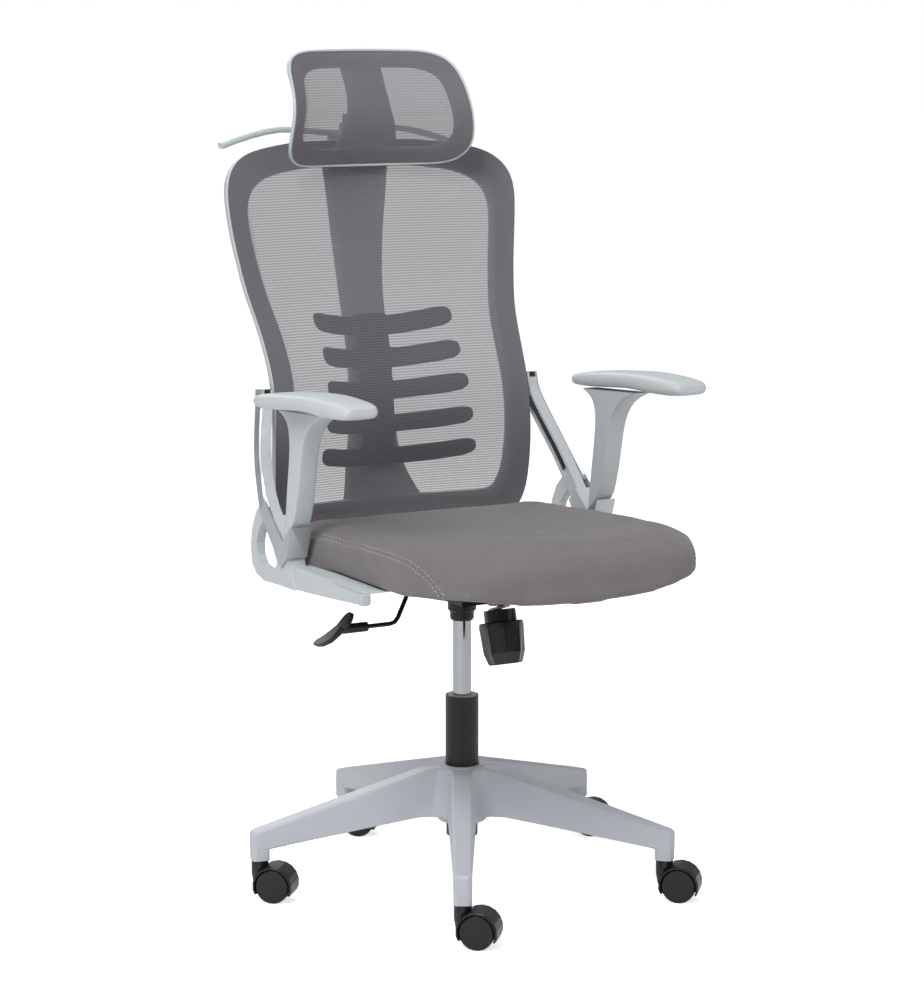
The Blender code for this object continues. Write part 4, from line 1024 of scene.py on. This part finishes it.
# ---- stage -----------------------------------------------------------------------
@dataclass
class Stage:
    """Pale floor, soft studio light and the camera."""

    distance: float = 4.20
    height: float = 1.290
    turn: float = math.radians(-28.68)
    pitch: float = math.radians(9.547)
    lens: float = 103.28
    floor_glow: float = 0.68
    floor_spill: float = 0.05
    room_low: float = 0.06
    room_high: float = 0.50

    def build(self) -> None:
        """Make the floor, the light and the camera."""
        self.floor()
        self.world()
        self.lamp("key", (-2.2, -1.6, 3.4), 1.9, 98.0)
        self.lamp("fill", (3.0, -2.2, 1.8), 1.6, 17.0)
        self.lamp("back", (0.5, 3.2, 2.6), 2.4, 46.0)
        self.camera()

    def floor(self) -> None:
        """Lay a wide pale floor, lit evenly enough to keep only soft contact shadows."""
        half = 30.0
        floor = new_object("floor", [(-half, -half, 0.0), (half, -half, 0.0), (half, half, 0.0),
                                     (-half, half, 0.0)], [(0, 1, 2, 3)])
        material = bpy.data.materials.new("studio_paper_matt")
        material.use_nodes = True
        shader = material.node_tree.nodes["Principled BSDF"]
        shader.inputs["Base Color"].default_value = linear("#F4F4F4")
        shader.inputs["Roughness"].default_value = 0.9
        shader.inputs["Specular IOR Level"].default_value = 0.1
        shader.inputs["Emission Color"].default_value = (1.0, 1.0, 1.0, 1.0)
        tree = material.node_tree
        seen = add_node(tree, "LightPath").outputs["Is Camera Ray"]
        glow = add_node(tree, "MapRange", inputs={"Value": seen, "To Min": self.floor_spill,
                                                  "To Max": self.floor_glow})
        tree.links.new(glow.outputs["Result"], shader.inputs["Emission Strength"])
        floor.data.materials.append(material)

    def world(self) -> None:
        """Light the room softly from above; straight ahead the camera sees white paper."""
        world = bpy.data.worlds.new("studio")
        world.use_nodes = True
        tree = world.node_tree
        ahead = add_node(tree, "TexCoord").outputs["Generated"]
        axes = add_node(tree, "SeparateXYZ", inputs={"Vector": ahead})
        rise = add_node(tree, "MapRange", inputs={"Value": axes.outputs["Z"], "From Min": -0.2,
                                                  "From Max": 0.9, "To Min": self.room_low,
                                                  "To Max": self.room_high})
        seen = add_node(tree, "LightPath").outputs["Is Camera Ray"]
        level = add_node(tree, "Mix", inputs={"Factor": seen, "A": rise.outputs["Result"], "B": 1.0})
        sky = tree.nodes["Background"]
        sky.inputs["Color"].default_value = (1.0, 1.0, 1.0, 1.0)
        tree.links.new(level.outputs["Result"], sky.inputs["Strength"])
        bpy.context.scene.world = world
        bpy.context.scene.view_settings.view_transform = "Standard"

    def lamp(self, name: str, place: Point, size: float, power: float) -> None:
        """Hang one soft box that points at the chair.

        Args:
            name: the lamp's name.
            place: where it hangs.
            size: its side, metres.
            power: watts.
        """
        data = bpy.data.lights.new(name, "AREA")
        data.size = size
        data.energy = power
        lamp = bpy.data.objects.new(name, data)
        lamp.location = place
        aim = Vector((0.0, 0.0, 0.6)) - Vector(place)
        lamp.rotation_euler = aim.to_track_quat("-Z", "Y").to_euler()
        bpy.context.collection.objects.link(lamp)

    def camera(self) -> None:
        """Stand the camera in front of the chair's right side, looking slightly down."""
        low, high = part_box("gas_cylinder")
        data = bpy.data.cameras.new("camera")
        data.sensor_width = 36.0
        data.lens = self.lens
        eye = bpy.data.objects.new("camera", data)
        eye.location = (self.distance * math.sin(self.turn),
                        (low[1] + high[1]) / 2.0 - self.distance * math.cos(self.turn), self.height)
        ahead = Vector((-math.sin(self.turn) * math.cos(self.pitch),
                        math.cos(self.turn) * math.cos(self.pitch), -math.sin(self.pitch)))
        eye.rotation_euler = ahead.to_track_quat("-Z", "Y").to_euler()
        bpy.context.collection.objects.link(eye)
        bpy.context.scene.camera = eye


@dataclass(frozen=True)
class Shell:
    """A moulding that is shown by a smoother copy of its CAD node."""

    node: str
    name: str
    body: str
    finish: Finish
    levels: int = 1
    crease: float = 50.0


SHELLS = (
    Shell("arm_pad_l", "arm_pad_skin_l", "seat", PAD_SKIN, 2, 70.0),
    Shell("arm_column_l", "arm_column_shell_l", "seat", ARM_NYLON),
    Shell("arm_pad_r", "arm_pad_skin_r", "seat", PAD_SKIN, 2, 70.0),
    Shell("arm_column_r", "arm_column_shell_r", "seat", ARM_NYLON),
    Shell("back_frame", "back_frame_shell", "seat", ARM_NYLON),
    Shell("headrest_frame", "headrest_frame_shell", "headrest", ARM_NYLON),
    Shell("lumbar_support", "lumbar_ribs", "lumbar", RIB_NYLON, 1, 60.0),
)


def dress_frame(chair: Chair) -> None:
    """Give every CAD node that stays its real finish.

    Args:
        chair: the chair whose nodes are dressed.
    """
    chair.dress_nodes(BASE_NYLON, "base_star", edge=1.0 * MM)
    chair.dress_nodes(POLISHED_ABS, *[f"caster_{n}_hood" for n in CASTERS], edge=0.5 * MM)
    chair.dress_nodes(ZINC_STEEL, *[f"caster_{n}_{part}" for n in CASTERS for part in ("stem", "axle")])
    chair.dress_nodes(WHEEL_NYLON, *[f"caster_{n}_wheel_{side}" for n in CASTERS for side in "ab"],
                      edge=0.5 * MM)
    chair.dress_nodes(POWDER_COAT, "gas_outer_tube", "mechanism_housing", "seat_plate", "lever_rod")
    chair.dress_nodes(ARM_NYLON, "guide_bushing", "headrest_post", "coat_hanger")
    chair.dress_nodes(ZINC_STEEL, "piston_rod", "thrust_bearing", "retaining_clip", "valve_button",
                      "tilt_pin", "tension_bolt", "spring_washer", "tension_spring")
    chair.dress_nodes(CHROMED_STEEL, "gas_cylinder")
    chair.dress_nodes(BLACK_NYLON, "lever_paddle", "headrest_guide")
    chair.dress_nodes(POLISHED_ABS, "tension_knob", edge=0.6 * MM)
    chair.dress_nodes(SILVER_LACQUER, "trim_l", "trim_r", edge=0.6 * MM)
    chair.dress_nodes(ARM_NYLON, "side_frame_l", "side_frame_r", edge=1.2 * MM)


def main() -> None:
    """Build the chair's look round its frame."""
    logging.basicConfig(level=logging.INFO, format="%(message)s")
    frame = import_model()
    chair = Chair(frame)
    Stage().build()
    dress_frame(chair)
    Seat(chair).build()
    StretchedMesh(chair, "back_mesh", "back_mesh_sheet", "seat", "back_frame").build()
    StretchedMesh(chair, "headrest_mesh", "headrest_mesh_sheet", "headrest", "headrest_frame",
                  rim_width=30.0 * MM, rim_fade=1.0, knit=HEAD_KNIT, rail=2.2 * MM).build()
    for shell in SHELLS:
        piece = chair.refined(shell.node, shell.name, shell.levels, shell.crease)
        chair.place(piece, shell.body, shell.finish)
    for side in (-1.0, 1.0):
        SideFittings(chair, side).build()


if __name__ == "__main__":
    main()
